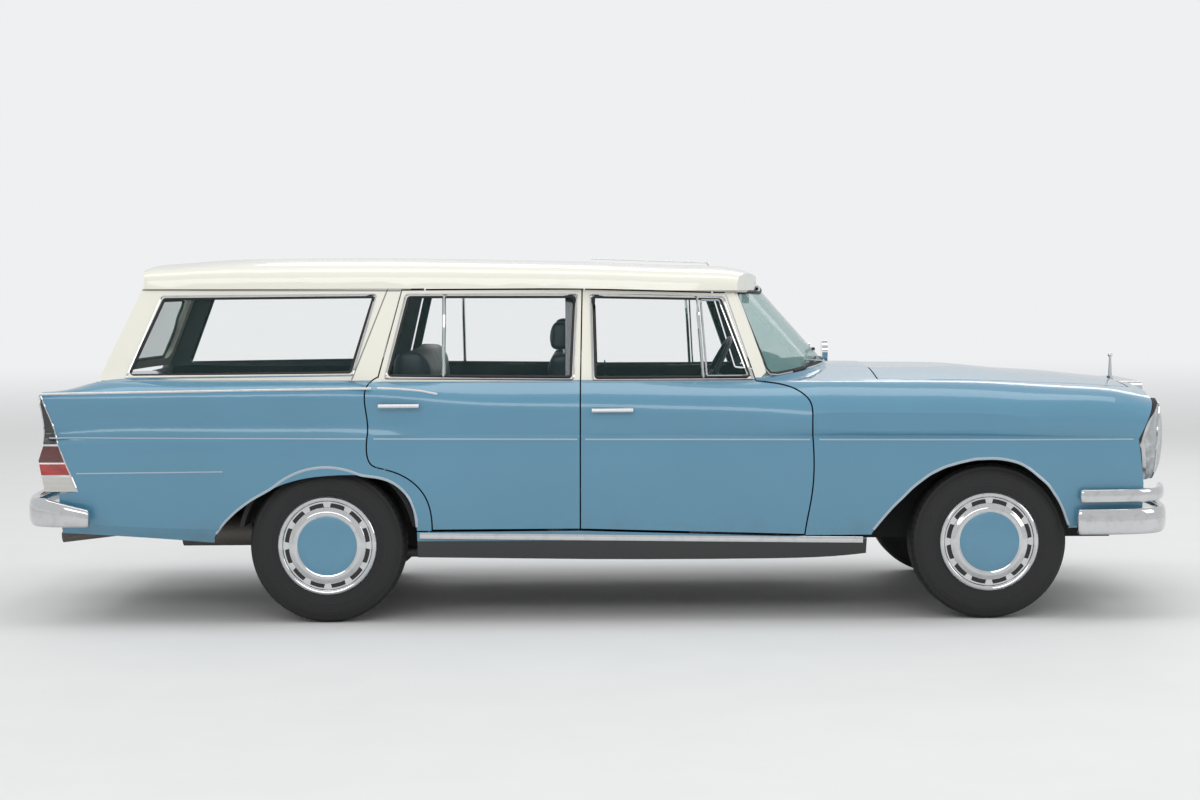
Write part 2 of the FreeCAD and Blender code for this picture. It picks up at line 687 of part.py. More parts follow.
# Roof cap, front pillars, rear pillars and quarter window frames in one shell

def roof_ends():
    """Solid between the roof's bowed front and rear edges."""
    right = Vector(along(0.625), -across(0.69), 0)
    left = Vector(along(0.625), across(0.69), 0)
    rear_left = Vector(along(-0.598), across(0.72), 0)
    rear_right = Vector(along(-0.598), -across(0.72), 0)
    wide = Vector(0, s.body_width, 0)
    return through_top(Part.Wire([
        arc(right, Vector(along(0.668), 0, 0), left), line(left, left + wide),
        line(left + wide, rear_left + wide), line(rear_left + wide, rear_left),
        arc(rear_left, Vector(along(-0.644), 0, 0), rear_right),
        line(rear_right, rear_right - wide), line(rear_right - wide, right - wide),
        line(right - wide, right)]), height(1), ceiling)


roof_room = block(along(-0.56), along(0.62), across(0.60), -across(0.60), height(1.5), ceiling)
cap = roof_cap().common(roof_ends()).cut(roof_cap(s.roof_wall).common(roof_room))
pillars = window_frames.common(right_half)
pillars = pillars.cut(door_hole).cut(skin)
quarter_window = through_side(rounded(side_points(quarter_pane_shares), s.pane_corner))
above_doors = block(along(0.125), along(0.60), 0, -body_half, height(1.70), ceiling)
pillar_top = block(along(-1), along(1), 0, -body_half, height(1.79), ceiling)
pillars = pillars.cut([quarter_window, above_doors, pillar_top])


def screen_wire(shrink):
    """Front-view outline of the windscreen opening."""
    low_side = Vector(0, across(0.842) - shrink, height(1.013) + shrink)
    low_mid = Vector(0, 0, height(1.098) + shrink)
    high_side = Vector(0, across(0.656) - shrink, height(1.695) - shrink)
    high_mid = Vector(0, 0, height(1.762) - shrink)
    low_far = Vector(0, -low_side.y, low_side.z)
    high_far = Vector(0, -high_side.y, high_side.z)
    return Part.Wire([arc(low_far, low_mid, low_side), line(low_side, high_side),
                      arc(high_side, high_mid, high_far), line(high_far, low_far)])


hatch_shares = ((0.79, 1.047), (0.665, 1.715))
hatch_pane_shares = ((0.735, 1.115), (0.625, 1.655))


def hatch_points(shares, grow=0):
    """Front-view corners of the hatch or its glass."""
    (low_y, low_z), (high_y, high_z) = shares
    return [Vector(0, -across(low_y) - grow, height(low_z) - grow),
            Vector(0, across(low_y) + grow, height(low_z) - grow),
            Vector(0, across(high_y) + grow, height(high_z) + grow),
            Vector(0, -across(high_y) - grow, height(high_z) + grow)]


screen_hole = through_front(screen_wire(0), along(0.55), along(1))
hatch_hole = through_front(Part.makePolygon(hatch_points(hatch_shares, s.gate_gap)
                                            + hatch_points(hatch_shares, s.gate_gap)[:1]),
                           along(-1), along(-0.45))
below_hatch = block(along(-1), along(-0.70), -gate_hole_half, gate_hole_half, 0, height(1.06))
pillars = pillars.cut(screen_hole).cut(hatch_hole).cut(below_hatch)
top = pillars.fuse(mirrored(pillars))
roof_shell = cap.fuse(top)
piece("roof", roof_shell)

# Fixed glass

screen_side_shares = ((0.656, 0.97), (0.612, 1.78), (1, 1.78), (1, 0.97), (0.656, 0.97))
screen = glass_layer.common(through_front(screen_wire(s.seat_gap), along(0.55), along(1)))
screen = screen.common(through_side(Part.makePolygon(side_points(screen_side_shares)))).cut(roof_cap())
quarter_pane = side_glass(quarter_pane_shares)
piece("fixed_glass", Part.makeCompound([screen, quarter_pane, mirrored(quarter_pane)]))

# Tailgate: a glass hatch above, a drop gate below

hatch_ring = window_band.cut(band(s.frame_wall + s.door_rim / 2))
hatch_ring = hatch_ring.common(block(along(-1), along(-0.45), -body_half, body_half, 0, ceiling))
hatch_corners = hatch_points(hatch_shares)
hatch = hatch_ring.common(through_front(Part.makePolygon(hatch_corners + hatch_corners[:1]),
                                        along(-1), along(-0.45)))
hatch_window = through_front(rounded(hatch_points(hatch_pane_shares), s.pane_corner * 2),
                             along(-1), along(-0.45))
piece("tailgate_upper", hatch.cut(hatch_window))
hatch_pane = through_front(rounded(hatch_points(hatch_pane_shares, -s.seat_gap), s.pane_corner * 2),
                           along(-1), along(-0.45))
piece("tailgate_glass", glass_layer.common(hatch_pane))

gate_bow_shares = ((-0.866, -0.840), (-0.795, -0.752))


def gate_outline(level, inset, z):
    """Plan outline of the drop gate's skin at its foot (level 0) or head (level 1)."""
    middle, edge = gate_bow_shares[level]
    half = across(gate_half_share)
    left = Vector(along(edge) + inset, half, z)
    right = Vector(along(edge) + inset, -half, z)
    ahead = Vector(along(-0.5), 0, 0)
    left_front = Vector(ahead.x, half, z)
    right_front = Vector(ahead.x, -half, z)
    return Part.Wire([arc(left, Vector(along(middle) + inset, 0, z), right),
                      line(right, right_front), line(right_front, left_front),
                      line(left_front, left)])


def gate_solid(inset):
    foot = gate_outline(0, inset, height(gate_foot_share))
    head = gate_outline(1, inset, height(gate_head_share))
    return Part.makeLoft([foot, head], True, True)


gate = gate_solid(0).cut(gate_solid(s.gate_wall))
chamfer_low = height(gate_head_share)
chamfer = Part.makePolygon([
    Vector(along(-0.86), 0, chamfer_low + s.gate_wall / 2), Vector(along(-0.80), 0, chamfer_low),
    Vector(along(-0.70), 0, chamfer_low - s.gate_wall * 0.7),
    Vector(along(-0.70), 0, chamfer_low + s.gate_wall / 2),
    Vector(along(-0.86), 0, chamfer_low + s.gate_wall / 2)])
piece("tailgate_lower", gate.cut(through_side(chamfer)))

# Sills and centre posts

sill_top_shares = ((0.136, 0.380), (0.3825, 0.382), (0.721, 0.352), (0.815, 0.345))
sill_points = side_points(sill_top_shares)
sill_feet = [Vector(sill_points[-1].x, 0, 0), Vector(sill_points[0].x, 0, 0)]
sill_side = Part.makePolygon(sill_points + sill_feet + sill_points[:1])
sill_inner_y = -across(0.84)
sill = skin_right.common(through_side(sill_side, -s.body_width, sill_inner_y))
post_middle = along(0.371)
post_shares = ((0.867, 0.34), (0.867, 0.80), (0.772, 1.0), (0.676, 1.751))
post_outer = [Vector(0, -across(y), height(z)) for y, z in post_shares]
post_inner = [p + Vector(0, s.post_wall, 0) for p in reversed(post_outer)]
post = through_front(Part.makePolygon(post_outer + post_inner + post_outer[:1]),
                     post_middle - s.post_width / 2, post_middle + s.post_width / 2)
post = post.cut(roof_cap())
hinge_post = block(along(0.7425), along(0.757), sill_inner_y, -across(0.91), height(0.32), height(0.84))
side = sill.fuse([post, hinge_post])
piece("side_frame", both_sides(side))

# Floor, bulkhead, aprons, chassis legs, wheel boxes and spare-wheel well

floor_line_shares = ((0.79, 0.43), (0.765, 0.31), (0.156, 0.31), (0.092, 0.585), (-0.775, 0.585))
load_floor_share = 0.585
floor_points = side_points(floor_line_shares)
floor_drop = Vector(0, 0, -s.floor_wall)
floor_under = [p + floor_drop for p in reversed(floor_points)]
floor_side = Part.makePolygon(floor_points + floor_under + floor_points[:1])
front_floor = through_side(floor_side, sill_inner_y, -sill_inner_y)
tyre_inner_y = (s.rear_track - s.tyre_width) / 2
box_inner_y = tyre_inner_y - s.floor_wall - s.tyre_clearance / 2
wheel_centre = Vector(rear_axle_x, -box_inner_y, s.tyre_radius)
box_outer_y = across(0.90)
wheel_box = Part.makeCylinder(s.tyre_radius + s.tyre_clearance + s.floor_wall, box_outer_y - box_inner_y,
                              wheel_centre, Vector(0, -1, 0))
wheel_void = Part.makeCylinder(s.tyre_radius + s.tyre_clearance, box_outer_y,
                               wheel_centre - Vector(0, s.floor_wall, 0), Vector(0, -1, 0))
wheel_box = wheel_box.common(block(along(-1), along(1), 0, -body_half, height(0.40), ceiling))
bulkhead_x = along(0.79)
bulkhead = block(bulkhead_x - s.floor_wall, bulkhead_x, across(0.72), -across(0.72),
                 height(0.41), ceiling).common(panel_hollow)
leg_outer_y = across(0.50)
leg_inner_y = leg_outer_y - s.leg_width
front_end = along(1.715)
leg = block(along(0.74), front_end, -leg_inner_y, -leg_outer_y, height(0.30), height(0.42))
apron = block(bulkhead_x - s.floor_wall, front_end, -leg_outer_y + s.floor_wall, -leg_outer_y,
              height(0.40), height(0.90))
radiator_panel = block(front_end - s.floor_wall, front_end, leg_outer_y, -leg_outer_y,
                       height(0.42), height(0.90))
tub_radius = across(0.38)
tub = Part.makeCylinder(tub_radius, height(load_floor_share) - height(0.308),
                        Vector(along(-0.50), 0, height(0.308)))
side_parts = [leg, apron, wheel_box, mirrored(leg), mirrored(apron), mirrored(wheel_box)]
floor_end = floor_points[-1].x
shelf_end = along(-0.850) + s.panel_wall
riser = block(floor_end, floor_end + s.floor_wall, sill_inner_y, -sill_inner_y, height(0.48),
              height(load_floor_share))
shelf = block(shelf_end, floor_end + s.floor_wall, sill_inner_y, -sill_inner_y, height(0.48),
              height(0.48) + s.floor_wall)
shaft_z = s.tyre_radius + s.shaft_rise
tunnel_radius = s.shaft_radius + s.shaft_clearance
tunnel = Part.makeCylinder(tunnel_radius + s.floor_wall, bulkhead_x - along(0.14),
                           Vector(along(0.14), 0, shaft_z), Vector(1, 0, 0))
tunnel = tunnel.common(block(along(0), along(1), body_half, -body_half, height(0.31), ceiling))
tunnel_void = Part.makeCylinder(tunnel_radius, along(0.9) - rear_axle_x, Vector(rear_axle_x, 0, shaft_z),
                                Vector(1, 0, 0))
floor_pan = front_floor.fuse(side_parts + [bulkhead, radiator_panel, tub, riser, shelf, tunnel])
floor_pan = floor_pan.cut([wheel_void, mirrored(wheel_void), tunnel_void])
piece("floor_pan", floor_pan.removeSplitter())

# Bumpers: blades that follow a plan line

front_bumper_shares = ((2.0, 0.0), (1.992, 0.34), (1.965, 0.66), (1.925, 0.86), (1.84, 0.965),
                       (1.65, 1.005), (1.434, 1.008))
rear_bumper_shares = ((-1.0, 0.0), (-0.996, 0.34), (-0.985, 0.66), (-0.963, 0.86), (-0.925, 0.955),
                      (-0.83, 0.998), (-0.748, 1.002))


def blade(shares, inward, low, high, start=0.0):
    """Right-hand half of a bumper blade between two heights, from a share across outwards."""
    outer = [Vector(along(a), -across(y), 0) for a, y in shares]
    inner = [Vector(p.x + inward * s.bumper_wall, p.y * 1, 0) for p in outer[:3]]
    inner += [Vector(p.x + inward * s.bumper_wall * 0.8, p.y + s.bumper_wall * 0.8, 0) for p in outer[3:5]]
    inner += [Vector(p.x, p.y + s.bumper_wall, 0) for p in outer[5:]]
    wire = Part.Wire([spline(outer), line(outer[-1], inner[-1]), spline(inner[::-1]),
                      line(inner[0], outer[0])])
    solid = through_top(wire, height(low), height(high))
    if start:
        solid = solid.common(block(along(-1), along(2), -across(start), -s.body_width, 0, ceiling))
    return solid


def bumper(label, shares, inward, low, high, extra):
    half = blade(shares, inward, low, high)
    half = half.fuse(extra)
    return piece(label, half.fuse(mirrored(half)).removeSplitter())


bracket_y = across(0.45)
front_bracket = block(front_end, along(1.985), -bracket_y, -bracket_y - s.bracket_width,
                      height(0.32), height(0.372))
corner_blade = blade(front_bumper_shares, -1, 0.487, 0.543, 0.62)
corner_lug = block(along(1.88), along(1.93), -across(0.84), -across(0.88), height(0.45), height(0.50))
bumper("front_bumper", front_bumper_shares, -1, 0.354, 0.463, [front_bracket, corner_blade, corner_lug])
rear_bracket = block(along(-0.850), along(-0.985), -bracket_y, -bracket_y - s.bracket_width,
                     height(0.43), height(0.49))
bumper("rear_bumper", rear_bumper_shares, 1, 0.410, 0.530, [rear_bracket])

# Grille: a framed opening with bars

grille_half = across(grille_half_share)
grille_rear_share = 1.800
grille_front_share = 1.925
grille_top_share = 0.962


def grille_corners(half, low, high):
    return [Vector(0, -half, low), Vector(0, half, low), Vector(0, half, high), Vector(0, -half, high)]


grille_low = height(grille_low_share)
grille_high = height(grille_top_share)
shell = through_front(rounded(grille_corners(grille_half, grille_low, grille_high), s.grille_corner),
                      along(grille_rear_share), along(grille_front_share))
opening = rounded(grille_corners(grille_half - s.grille_frame, grille_low + s.grille_frame,
                                 grille_high - s.grille_frame), s.grille_corner - s.grille_frame / 2)
shell = shell.cut(through_front(opening, along(grille_rear_share) - s.overrun, along(2) + s.overrun))
bars = [block(along(1.86), along(1.90), -s.grille_bar, s.grille_bar, grille_low + s.grille_bar,
              grille_high - s.grille_bar)]
bar_count = int(s.grille_bars)
opening_height = grille_high - grille_low - 2 * s.grille_frame
for index in range(bar_count):
    z = grille_low + s.grille_frame + (index + 1) * opening_height / (bar_count + 1)
    bars.append(block(along(1.845), along(1.885), -grille_half + s.grille_bar, grille_half - s.grille_bar,
                      z, z + s.grille_bar))
piece("grille", shell.fuse(bars))

# Headlamps: tall ovals that bulge forward

lamp_y_share = 0.79
lamp_oval_shares = ((1.70, 0.735, 0.132, 0.172), (1.82, 0.737, 0.131, 0.170),
                    (1.87, 0.745, 0.118, 0.155), (1.893, 0.765, 0.085, 0.112),
                    (1.901, 0.780, 0.035, 0.045))


def lamp_solid(inset):
    """Right-hand headlamp as one closed oval dome."""
    wires = []
    for a, middle, half_y, half_z in lamp_oval_shares:
        centre = Vector(along(a) - inset, -across(lamp_y_share), height(middle))
        tall = height(half_z) - inset
        wide = across(half_y) - inset
        ellipse = Part.Ellipse(centre + Vector(0, 0, tall), centre + Vector(0, wide, 0), centre)
        wires.append(Part.Wire(ellipse.toShape()))
    return Part.makeLoft(wires, True, False)


lamp = lamp_solid(0).cut(nose)
rim_cut = nose_solid(-s.lamp_rim)
lamp_rim = lamp.common(rim_cut).cut(lamp_solid(s.lamp_rim).cut(nose_solid(-s.lamp_rim / 2)))
lens = lamp.cut(rim_cut).cut(lamp_solid(s.lamp_glass_wall))
piece("headlamp_bodies", both_sides(lamp_rim))
piece("headlamp_glass", both_sides(lens))

# Tail lamps: they close the ends of the fins

lamp_tail_shares = ((-0.909, 0.966), (-0.895, 0.750), (-0.911, 0.688), (-0.895, 0.557),
                    (-0.788, 0.557), (-0.852, 0.769), (-0.902, 0.966), (-0.909, 0.966))
tail_lamp = skin_right.common(through_side(Part.makePolygon(side_points(lamp_tail_shares))))
tail_lamp = tail_lamp.common(block(along(-1), along(-0.5), -gate_hole_half, -body_half, 0, ceiling))
piece("tail_lamps", both_sides(tail_lamp))

# Features bound to the sheet: turned, padded and primitive pieces


def sheet_value(expression):
    """The value of an expression on the sheet's cells."""
    return float(sheet.evalExpression(expression))


def bind(expression):
    """The same expression as another object's property reads it."""
    for alias, value, note in sorted(DIMENSIONS, key=lambda item: -len(item[0])):
        expression = expression.replace("{" + alias + "}", "Sizes." + alias)
    return expression


def outline_sketch(body, plane_role, corners):
    """A closed sketch of straight lines; each corner's two distances are bound to the sheet."""
    sketch = body.newObject("Sketcher::SketchObject", body.Name + "_outline")
    plane = [item for item in body.Origin.OriginFeatures if item.Role == plane_role][0]
    sketch.AttachmentSupport = (plane, [""])
    sketch.MapMode = "FlatFace"
    places = [(sheet_value(x.format(**names)), sheet_value(y.format(**names))) for x, y in corners]
    count = len(corners)
    for index in range(count):
        x0, y0 = places[index]
        x1, y1 = places[(index + 1) % count]
        sketch.addGeometry(Part.LineSegment(Vector(x0, y0, 0), Vector(x1, y1, 0)), False)
    for index in range(count):
        sketch.addConstraint(Sketcher.Constraint("Coincident", index, 2, (index + 1) % count, 1))
    for index in range(count):
        for kind, value, text in (("DistanceX", places[index][0], corners[index][0]),
                                  ("DistanceY", places[index][1], corners[index][1])):
            number = sketch.addConstraint(Sketcher.Constraint(kind, -1, 1, index, 1, value))
            sketch.setExpression("Constraints[%d]" % number, bind(text))
    return sketch


names = {alias: alias for alias, value, note in DIMENSIONS}


def place(obj, x, y, z, turn=None):
    """Bind an object's place to the sheet."""
    if turn:
        obj.Placement = Placement(Vector(0, 0, 0), turn)
    obj.setExpression("Placement.Base.x", bind(x))
    obj.setExpression("Placement.Base.y", bind(y))
    obj.setExpression("Placement.Base.z", bind(z))
    return obj


def turned(label, corners):
    """A body turned about the Y axis from (radius, place along the axis) corners."""
    body = doc.addObject("PartDesign::Body", label)
    body.Label = label
    sketch = outline_sketch(body, "XY_Plane", corners)
    turn = body.newObject("PartDesign::Revolution", label + "_turn")
    turn.Profile = sketch
    turn.ReferenceAxis = (sketch, ["V_Axis"])
    turn.Angle = 360
    sketch.Visibility = False
    return body


FRONT_AXLE = "({wheelbase} + {rear_overhang} - {front_overhang}) / 2"
REAR_AXLE = "({rear_overhang} - {wheelbase} - {front_overhang}) / 2"
half_tyre = "{tyre_width} / 2"
# Corners are measured from the tyre's inner face, so that all stay positive.
tyre_corners = (
    ("{rim_radius}", "{tyre_width} * 0.12"), ("{rim_radius} + 26", "{tyre_width} * 0.03"),
    ("{tyre_radius} * 0.75", "0"), ("{tyre_radius} * 0.86", "{tyre_width} * 0.02"),
    ("{tyre_radius} * 0.955", "{tyre_width} * 0.09"), ("{tyre_radius} * 0.99", "{tyre_width} * 0.16"),
    ("{tyre_radius}", "{tyre_width} * 0.30"), ("{tyre_radius}", "{tyre_width} * 0.70"),
    ("{tyre_radius} * 0.99", "{tyre_width} * 0.84"), ("{tyre_radius} * 0.955", "{tyre_width} * 0.91"),
    ("{tyre_radius} * 0.86", "{tyre_width} * 0.98"), ("{tyre_radius} * 0.75", "{tyre_width}"),
    ("{rim_radius} + 26", "{tyre_width} * 0.97"), ("{rim_radius}", "{tyre_width} * 0.88"))
wheel_corners = (
    ("0", "{tyre_width} * 0.60"), ("{hub_radius}", "{tyre_width} * 0.60"),
    ("{cap_rim_radius}", "{tyre_width} * 0.76"), ("{rim_radius} - {rim_wall} * 2", "{tyre_width} * 0.66"),
    ("{rim_radius} - {rim_wall} * 2", "{tyre_width} * 0.16"), ("{rim_radius} - {rim_wall}", "{tyre_width} * 0.12"),
    ("{rim_radius}", "{tyre_width} * 0.12"), ("{rim_radius}", "{tyre_width} * 0.88"),
    ("{trim_ring_radius}", "{tyre_width} * 0.985"), ("{trim_ring_radius}", "{tyre_width}"),
    ("{rim_radius} - {rim_wall}", "{tyre_width} * 0.92"), ("{rim_radius} - {rim_wall} * 2", "{tyre_width} * 0.80"),
    ("{cap_rim_radius}", "{tyre_width} * 0.86"), ("{hub_cap_radius}", "{tyre_width} * 0.93"),
    ("0", "{tyre_width}"))
for axle, axle_x, track in (("front", FRONT_AXLE, "{front_track}"), ("rear", REAR_AXLE, "{rear_track}")):
    for side_name, sign, turn in (("left", 1, Rotation()), ("right", -1, Rotation(Vector(0, 0, 1), 180))):
        for kind, corners in (("tyre", tyre_corners), ("wheel", wheel_corners)):
            corner = turned("%s_%s_%s" % (kind, axle, side_name), corners)
            start = "%d * (%s - {tyre_width}) / 2" % (sign, track)
            place(corner, axle_x, start, "{tyre_radius}", turn)
            keep(corner)


def cylinder(label, radius, length, x, y, z, turn):
    """A cylinder bound to the sheet, from its place along the turned axis."""
    obj = doc.addObject("Part::Cylinder", label)
    obj.Label = label
    obj.setExpression("Radius", bind(radius))
    obj.setExpression("Height", bind(length))
    return place(obj, x, y, z, turn)


def box(label, length, width, tall, x, y, z, turn=None):
    """A box bound to the sheet."""
    obj = doc.addObject("Part::Box", label)
    obj.Label = label
    obj.setExpression("Length", bind(length))
    obj.setExpression("Width", bind(width))
    obj.setExpression("Height", bind(tall))
    return place(obj, x, y, z, turn)


def joined(label, shapes):
    obj = doc.addObject("Part::MultiFuse", label)
    obj.Label = label
    obj.Shapes = shapes
    return keep(obj)


ALONG_Y = Rotation(Vector(1, 0, 0), -90)
ALONG_X = Rotation(Vector(0, 1, 0), 90)
UPRIGHT = Rotation()

# Rear axle with its differential, springs and prop shaft
rear_face = "({rear_track} - {tyre_width}) / 2 + {tyre_width} * 0.60"
tube = cylinder("axle_tube", "{axle_radius}", "2 * (%s)" % rear_face, REAR_AXLE, "-(%s)" % rear_face,
                "{tyre_radius}", ALONG_Y)
differential = cylinder("differential", "{drum_radius}", "{drum_radius} * 1.6", REAR_AXLE,
                        "-{drum_radius} * 0.8", "{tyre_radius}", ALONG_Y)
shaft = cylinder("prop_shaft", "{shaft_radius}", "{wheelbase} - {engine_length} * 0.55 - {seat_gap}", REAR_AXLE,
                 "0", "{tyre_radius} + {shaft_rise}", ALONG_X)
axle_parts = [tube, differential, shaft]
for name, sign in (("left", ""), ("right", "-")):
    axle_parts.append(cylinder("spring_" + name, "{spring_radius}", "{load_floor} - {floor_wall} - {tyre_radius}",
                               REAR_AXLE, sign + "{spring_offset}", "{tyre_radius}", UPRIGHT))
    drum_start = "(%s) - {drum_width}" % rear_face if name == "left" else "-(%s)" % rear_face
    axle_parts.append(cylinder("drum_" + name, "{drum_radius}", "{drum_width}", REAR_AXLE, drum_start,
                               "{tyre_radius}", ALONG_Y))
joined("rear_axle", axle_parts)

# Front beam with the arms that hold the steering pivots
beam_top = "{leg_bottom}"
beam = box("beam", "{beam_length}", "2 * {beam_half}", "{beam_height}", "%s - {beam_length} / 2" % FRONT_AXLE,
           "-{beam_half}", "{leg_bottom} - {beam_height}")
beam_parts = [beam]
for name, sign in (("left", 1), ("right", -1)):
    inner = "{beam_half} - {arm_width}" if sign > 0 else "-{king_pin_offset} - {arm_width} / 2"
    reach = "{king_pin_offset} - {beam_half} + {arm_width} * 1.5"
    for level, middle in (("low", "{tyre_radius} - {arm_spread}"), ("high", "{tyre_radius} + {arm_spread}")):
        beam_parts.append(box("arm_%s_%s" % (level, name), "{arm_width}", reach, "{arm_height}",
                              "%s - {arm_width} / 2" % FRONT_AXLE, inner, "%s - {arm_height} / 2" % middle))
    inner = "{beam_half} - {arm_width}" if sign > 0 else "-{beam_half}"
    beam_parts.append(box("tower_" + name, "{arm_width}", "{arm_width}", "{arm_spread} * 2",
                          "%s - {arm_width} / 2" % FRONT_AXLE, inner, "{tyre_radius} - {arm_spread}"))
    inner = "{engine_half} - {arm_width}" if sign > 0 else "-{engine_half}"
    beam_parts.append(box("engine_pad_" + name, "{arm_width}", "{arm_width}", "{engine_bottom} - {leg_bottom} + {beam_height}",
                          "%s - {arm_width} / 2" % FRONT_AXLE, inner, "{leg_bottom} - {beam_height}"))
joined("front_axle_beam", beam_parts)

# Steered knuckles: a pivot between the arms, with a stub axle to the wheel
pin_length = "2 * {arm_spread} - {arm_height} - 2 * {pin_gap}"
for name, sign in (("left", ""), ("right", "-")):
    pin = cylinder("pin_" + name, "{pin_radius}", pin_length, FRONT_AXLE, sign + "{king_pin_offset}",
                   "{tyre_radius} - {arm_spread} + {arm_height} / 2 + {pin_gap}", UPRIGHT)
    face = "({front_track} - {tyre_width}) / 2 + {tyre_width} * 0.60"
    length = "(%s) - {king_pin_offset}" % face
    start = "{king_pin_offset}" if name == "left" else "-(%s)" % face
    stub = cylinder("stub_" + name, "{axle_radius}", length, FRONT_AXLE, start, "{tyre_radius}", ALONG_Y)
    disc_start = "(%s) - {drum_width} / 2" % face if name == "left" else "-(%s)" % face
    disc = cylinder("disc_" + name, "{drum_radius}", "{drum_width} / 2", FRONT_AXLE, disc_start, "{tyre_radius}",
                    ALONG_Y)
    joined("knuckle_" + name, [pin, stub, disc])

# Engine and gearbox as one plain block
engine = box("engine_block", "{engine_length}", "2 * {engine_half}", "{engine_height}",
             "%s - {engine_length} * 0.55" % FRONT_AXLE, "-{engine_half}", "{engine_bottom}")
engine.Label = "engine"
keep(engine)

# Fuel tank under the load floor
tank = box("tank_block", "{tank_length}", "{tank_width}", "{tank_height}",
           "%s - {tank_behind} - {tank_length}" % REAR_AXLE, "{tank_offset}",
           "{load_floor} - {floor_wall} - {tank_height}")
tank.Label = "fuel_tank"
keep(tank)


# Seats, dashboard, steering wheel, exhaust and small fittings

def run_of_tube(points, radius):
    """Round tube through points, with ball corners."""
    shape = None
    for start, end in zip(points, points[1:]):
        reach = end - start
        part = Part.makeCylinder(radius, reach.Length, start, reach)
        shape = part if shape is None else shape.fuse(part)
        if end is not points[-1]:
            shape = shape.fuse(Part.makeSphere(radius, end))
    return shape


def cushion(shares, low, high):
    """A soft block with a side-view outline between two places across."""
    wire = rounded(side_points(shares), s.cushion_corner)
    return through_side(wire, across(low), across(high))


front_base_shares = ((0.358, 0.36), (0.560, 0.40), (0.562, 0.58), (0.395, 0.53), (0.372, 0.50))
front_back_shares = ((0.386, 0.52), (0.420, 0.545), (0.388, 1.055), (0.351, 1.065))
head_shares = ((0.349, 1.13), (0.372, 1.13), (0.371, 1.44), (0.350, 1.44))
seat_inner_share = 0.10
seat_outer_share = 0.70
seat = cushion(front_base_shares, -seat_outer_share, -seat_inner_share)
seat = seat.fuse(cushion(front_back_shares, -seat_outer_share, -seat_inner_share))
head = cushion(head_shares, -0.52, -0.27)
stalk = Part.makeCylinder(s.stalk_radius, height(1.2) - height(0.9),
                          Vector(along(0.361), -across(0.395), height(0.9)))
foot_block = block(along(0.40), along(0.54), -across(0.62), -across(0.17), height(0.31), height(0.42))
seat = seat.fuse([head, stalk, foot_block])
piece("front_seats", both_sides(seat))
rear_base_shares = ((0.148, 0.36), (0.318, 0.36), (0.320, 0.58), (0.152, 0.545))
rear_back_shares = ((0.130, 0.56), (0.172, 0.52), (0.142, 1.225), (0.094, 1.235), (0.096, 0.60))
rear = cushion(rear_base_shares, -0.73, 0.73).fuse(cushion(rear_back_shares, -0.73, 0.73))
rear = rear.fuse(block(along(0.165), along(0.30), across(0.6), -across(0.6), height(0.31), height(0.42)))
tunnel_room = Part.makeCylinder(tunnel_radius + s.floor_wall + s.seat_gap, along(1) - along(0),
                                Vector(along(0), 0, shaft_z), Vector(1, 0, 0))
piece("rear_seat", rear.cut(tunnel_room))
dash_shares = ((0.668, 0.80), (0.716, 0.78), (0.745, 0.96), (0.690, 1.02), (0.664, 0.98))
dash = cushion(dash_shares, -0.78, 0.78)
hood_shares = ((0.672, 0.94), (0.720, 0.96), (0.716, 1.12), (0.684, 1.17))
dash_front_shares = ((0.735, 0.70), (0.735, 0.895), (0.595, 0.945), (0.595, 1.2))
dash_right = [Vector(0, -across(a), height(h)) for a, h in dash_front_shares]
dash_left = [Vector(0, across(a), height(h)) for a, h in reversed(dash_front_shares)]
dash_room = through_front(Part.makePolygon(dash_right + dash_left + dash_right[:1]), along(0.5), along(1))
dash = dash.fuse(cushion(hood_shares, 0.28, 0.56)).common(band(s.frame_wall * 1.6)).common(dash_room)
stay = block(along(0.70), bulkhead_x - s.floor_wall, across(0.30), across(0.36), height(0.82), height(0.90))
stay = stay.fuse(mirrored(stay))
piece("dashboard", dash.fuse(stay))

wheel_place = Vector(along(0.600), across(0.42), height(0.965))
column = Vector(math.cos(math.radians(s.column_angle)), 0, -math.sin(math.radians(s.column_angle)))
rim = Part.makeTorus(s.steering_wheel_radius, s.steering_rim_radius, wheel_place, column * -1)
boss = Part.makeCylinder(s.steering_boss_radius, s.steering_boss_length, wheel_place - column * s.steering_rim_radius,
                         column)
spoke = Part.makeCylinder(s.steering_rim_radius * 0.7, s.steering_wheel_radius * 2,
                          wheel_place - Vector(0, s.steering_wheel_radius, 0), Vector(0, 1, 0))
piece("steering_wheel", rim.fuse([boss, spoke]))

pipe_y = -across(0.44)
pipe_z = height(0.245)
tail_y = -across(0.56)
pipe_line = [Vector(along(0.80), -across(0.2), height(0.27)), Vector(along(0.70), pipe_y, pipe_z),
             Vector(along(-0.12), pipe_y, pipe_z), Vector(along(-0.24), tail_y, height(0.36)),
             Vector(along(-0.70), tail_y, height(0.36)), Vector(along(-0.90), tail_y, height(0.33))]
pipe = run_of_tube(pipe_line, s.pipe_radius)
silencer = Part.makeCylinder(s.silencer_radius, along(-0.27) - along(-0.50),
                             Vector(along(-0.50), tail_y, height(0.36)), Vector(1, 0, 0))
hanger = Part.makeCylinder(s.hanger_radius, height(load_floor_share) - s.floor_wall - height(0.36),
                           Vector(along(-0.38), tail_y, height(0.36)))
front_hanger = Part.makeCylinder(s.hanger_radius, height(0.31) - s.floor_wall - pipe_z,
                                 Vector(along(0.45), pipe_y, pipe_z))
piece("exhaust", pipe.fuse([silencer, hanger, front_hanger]))

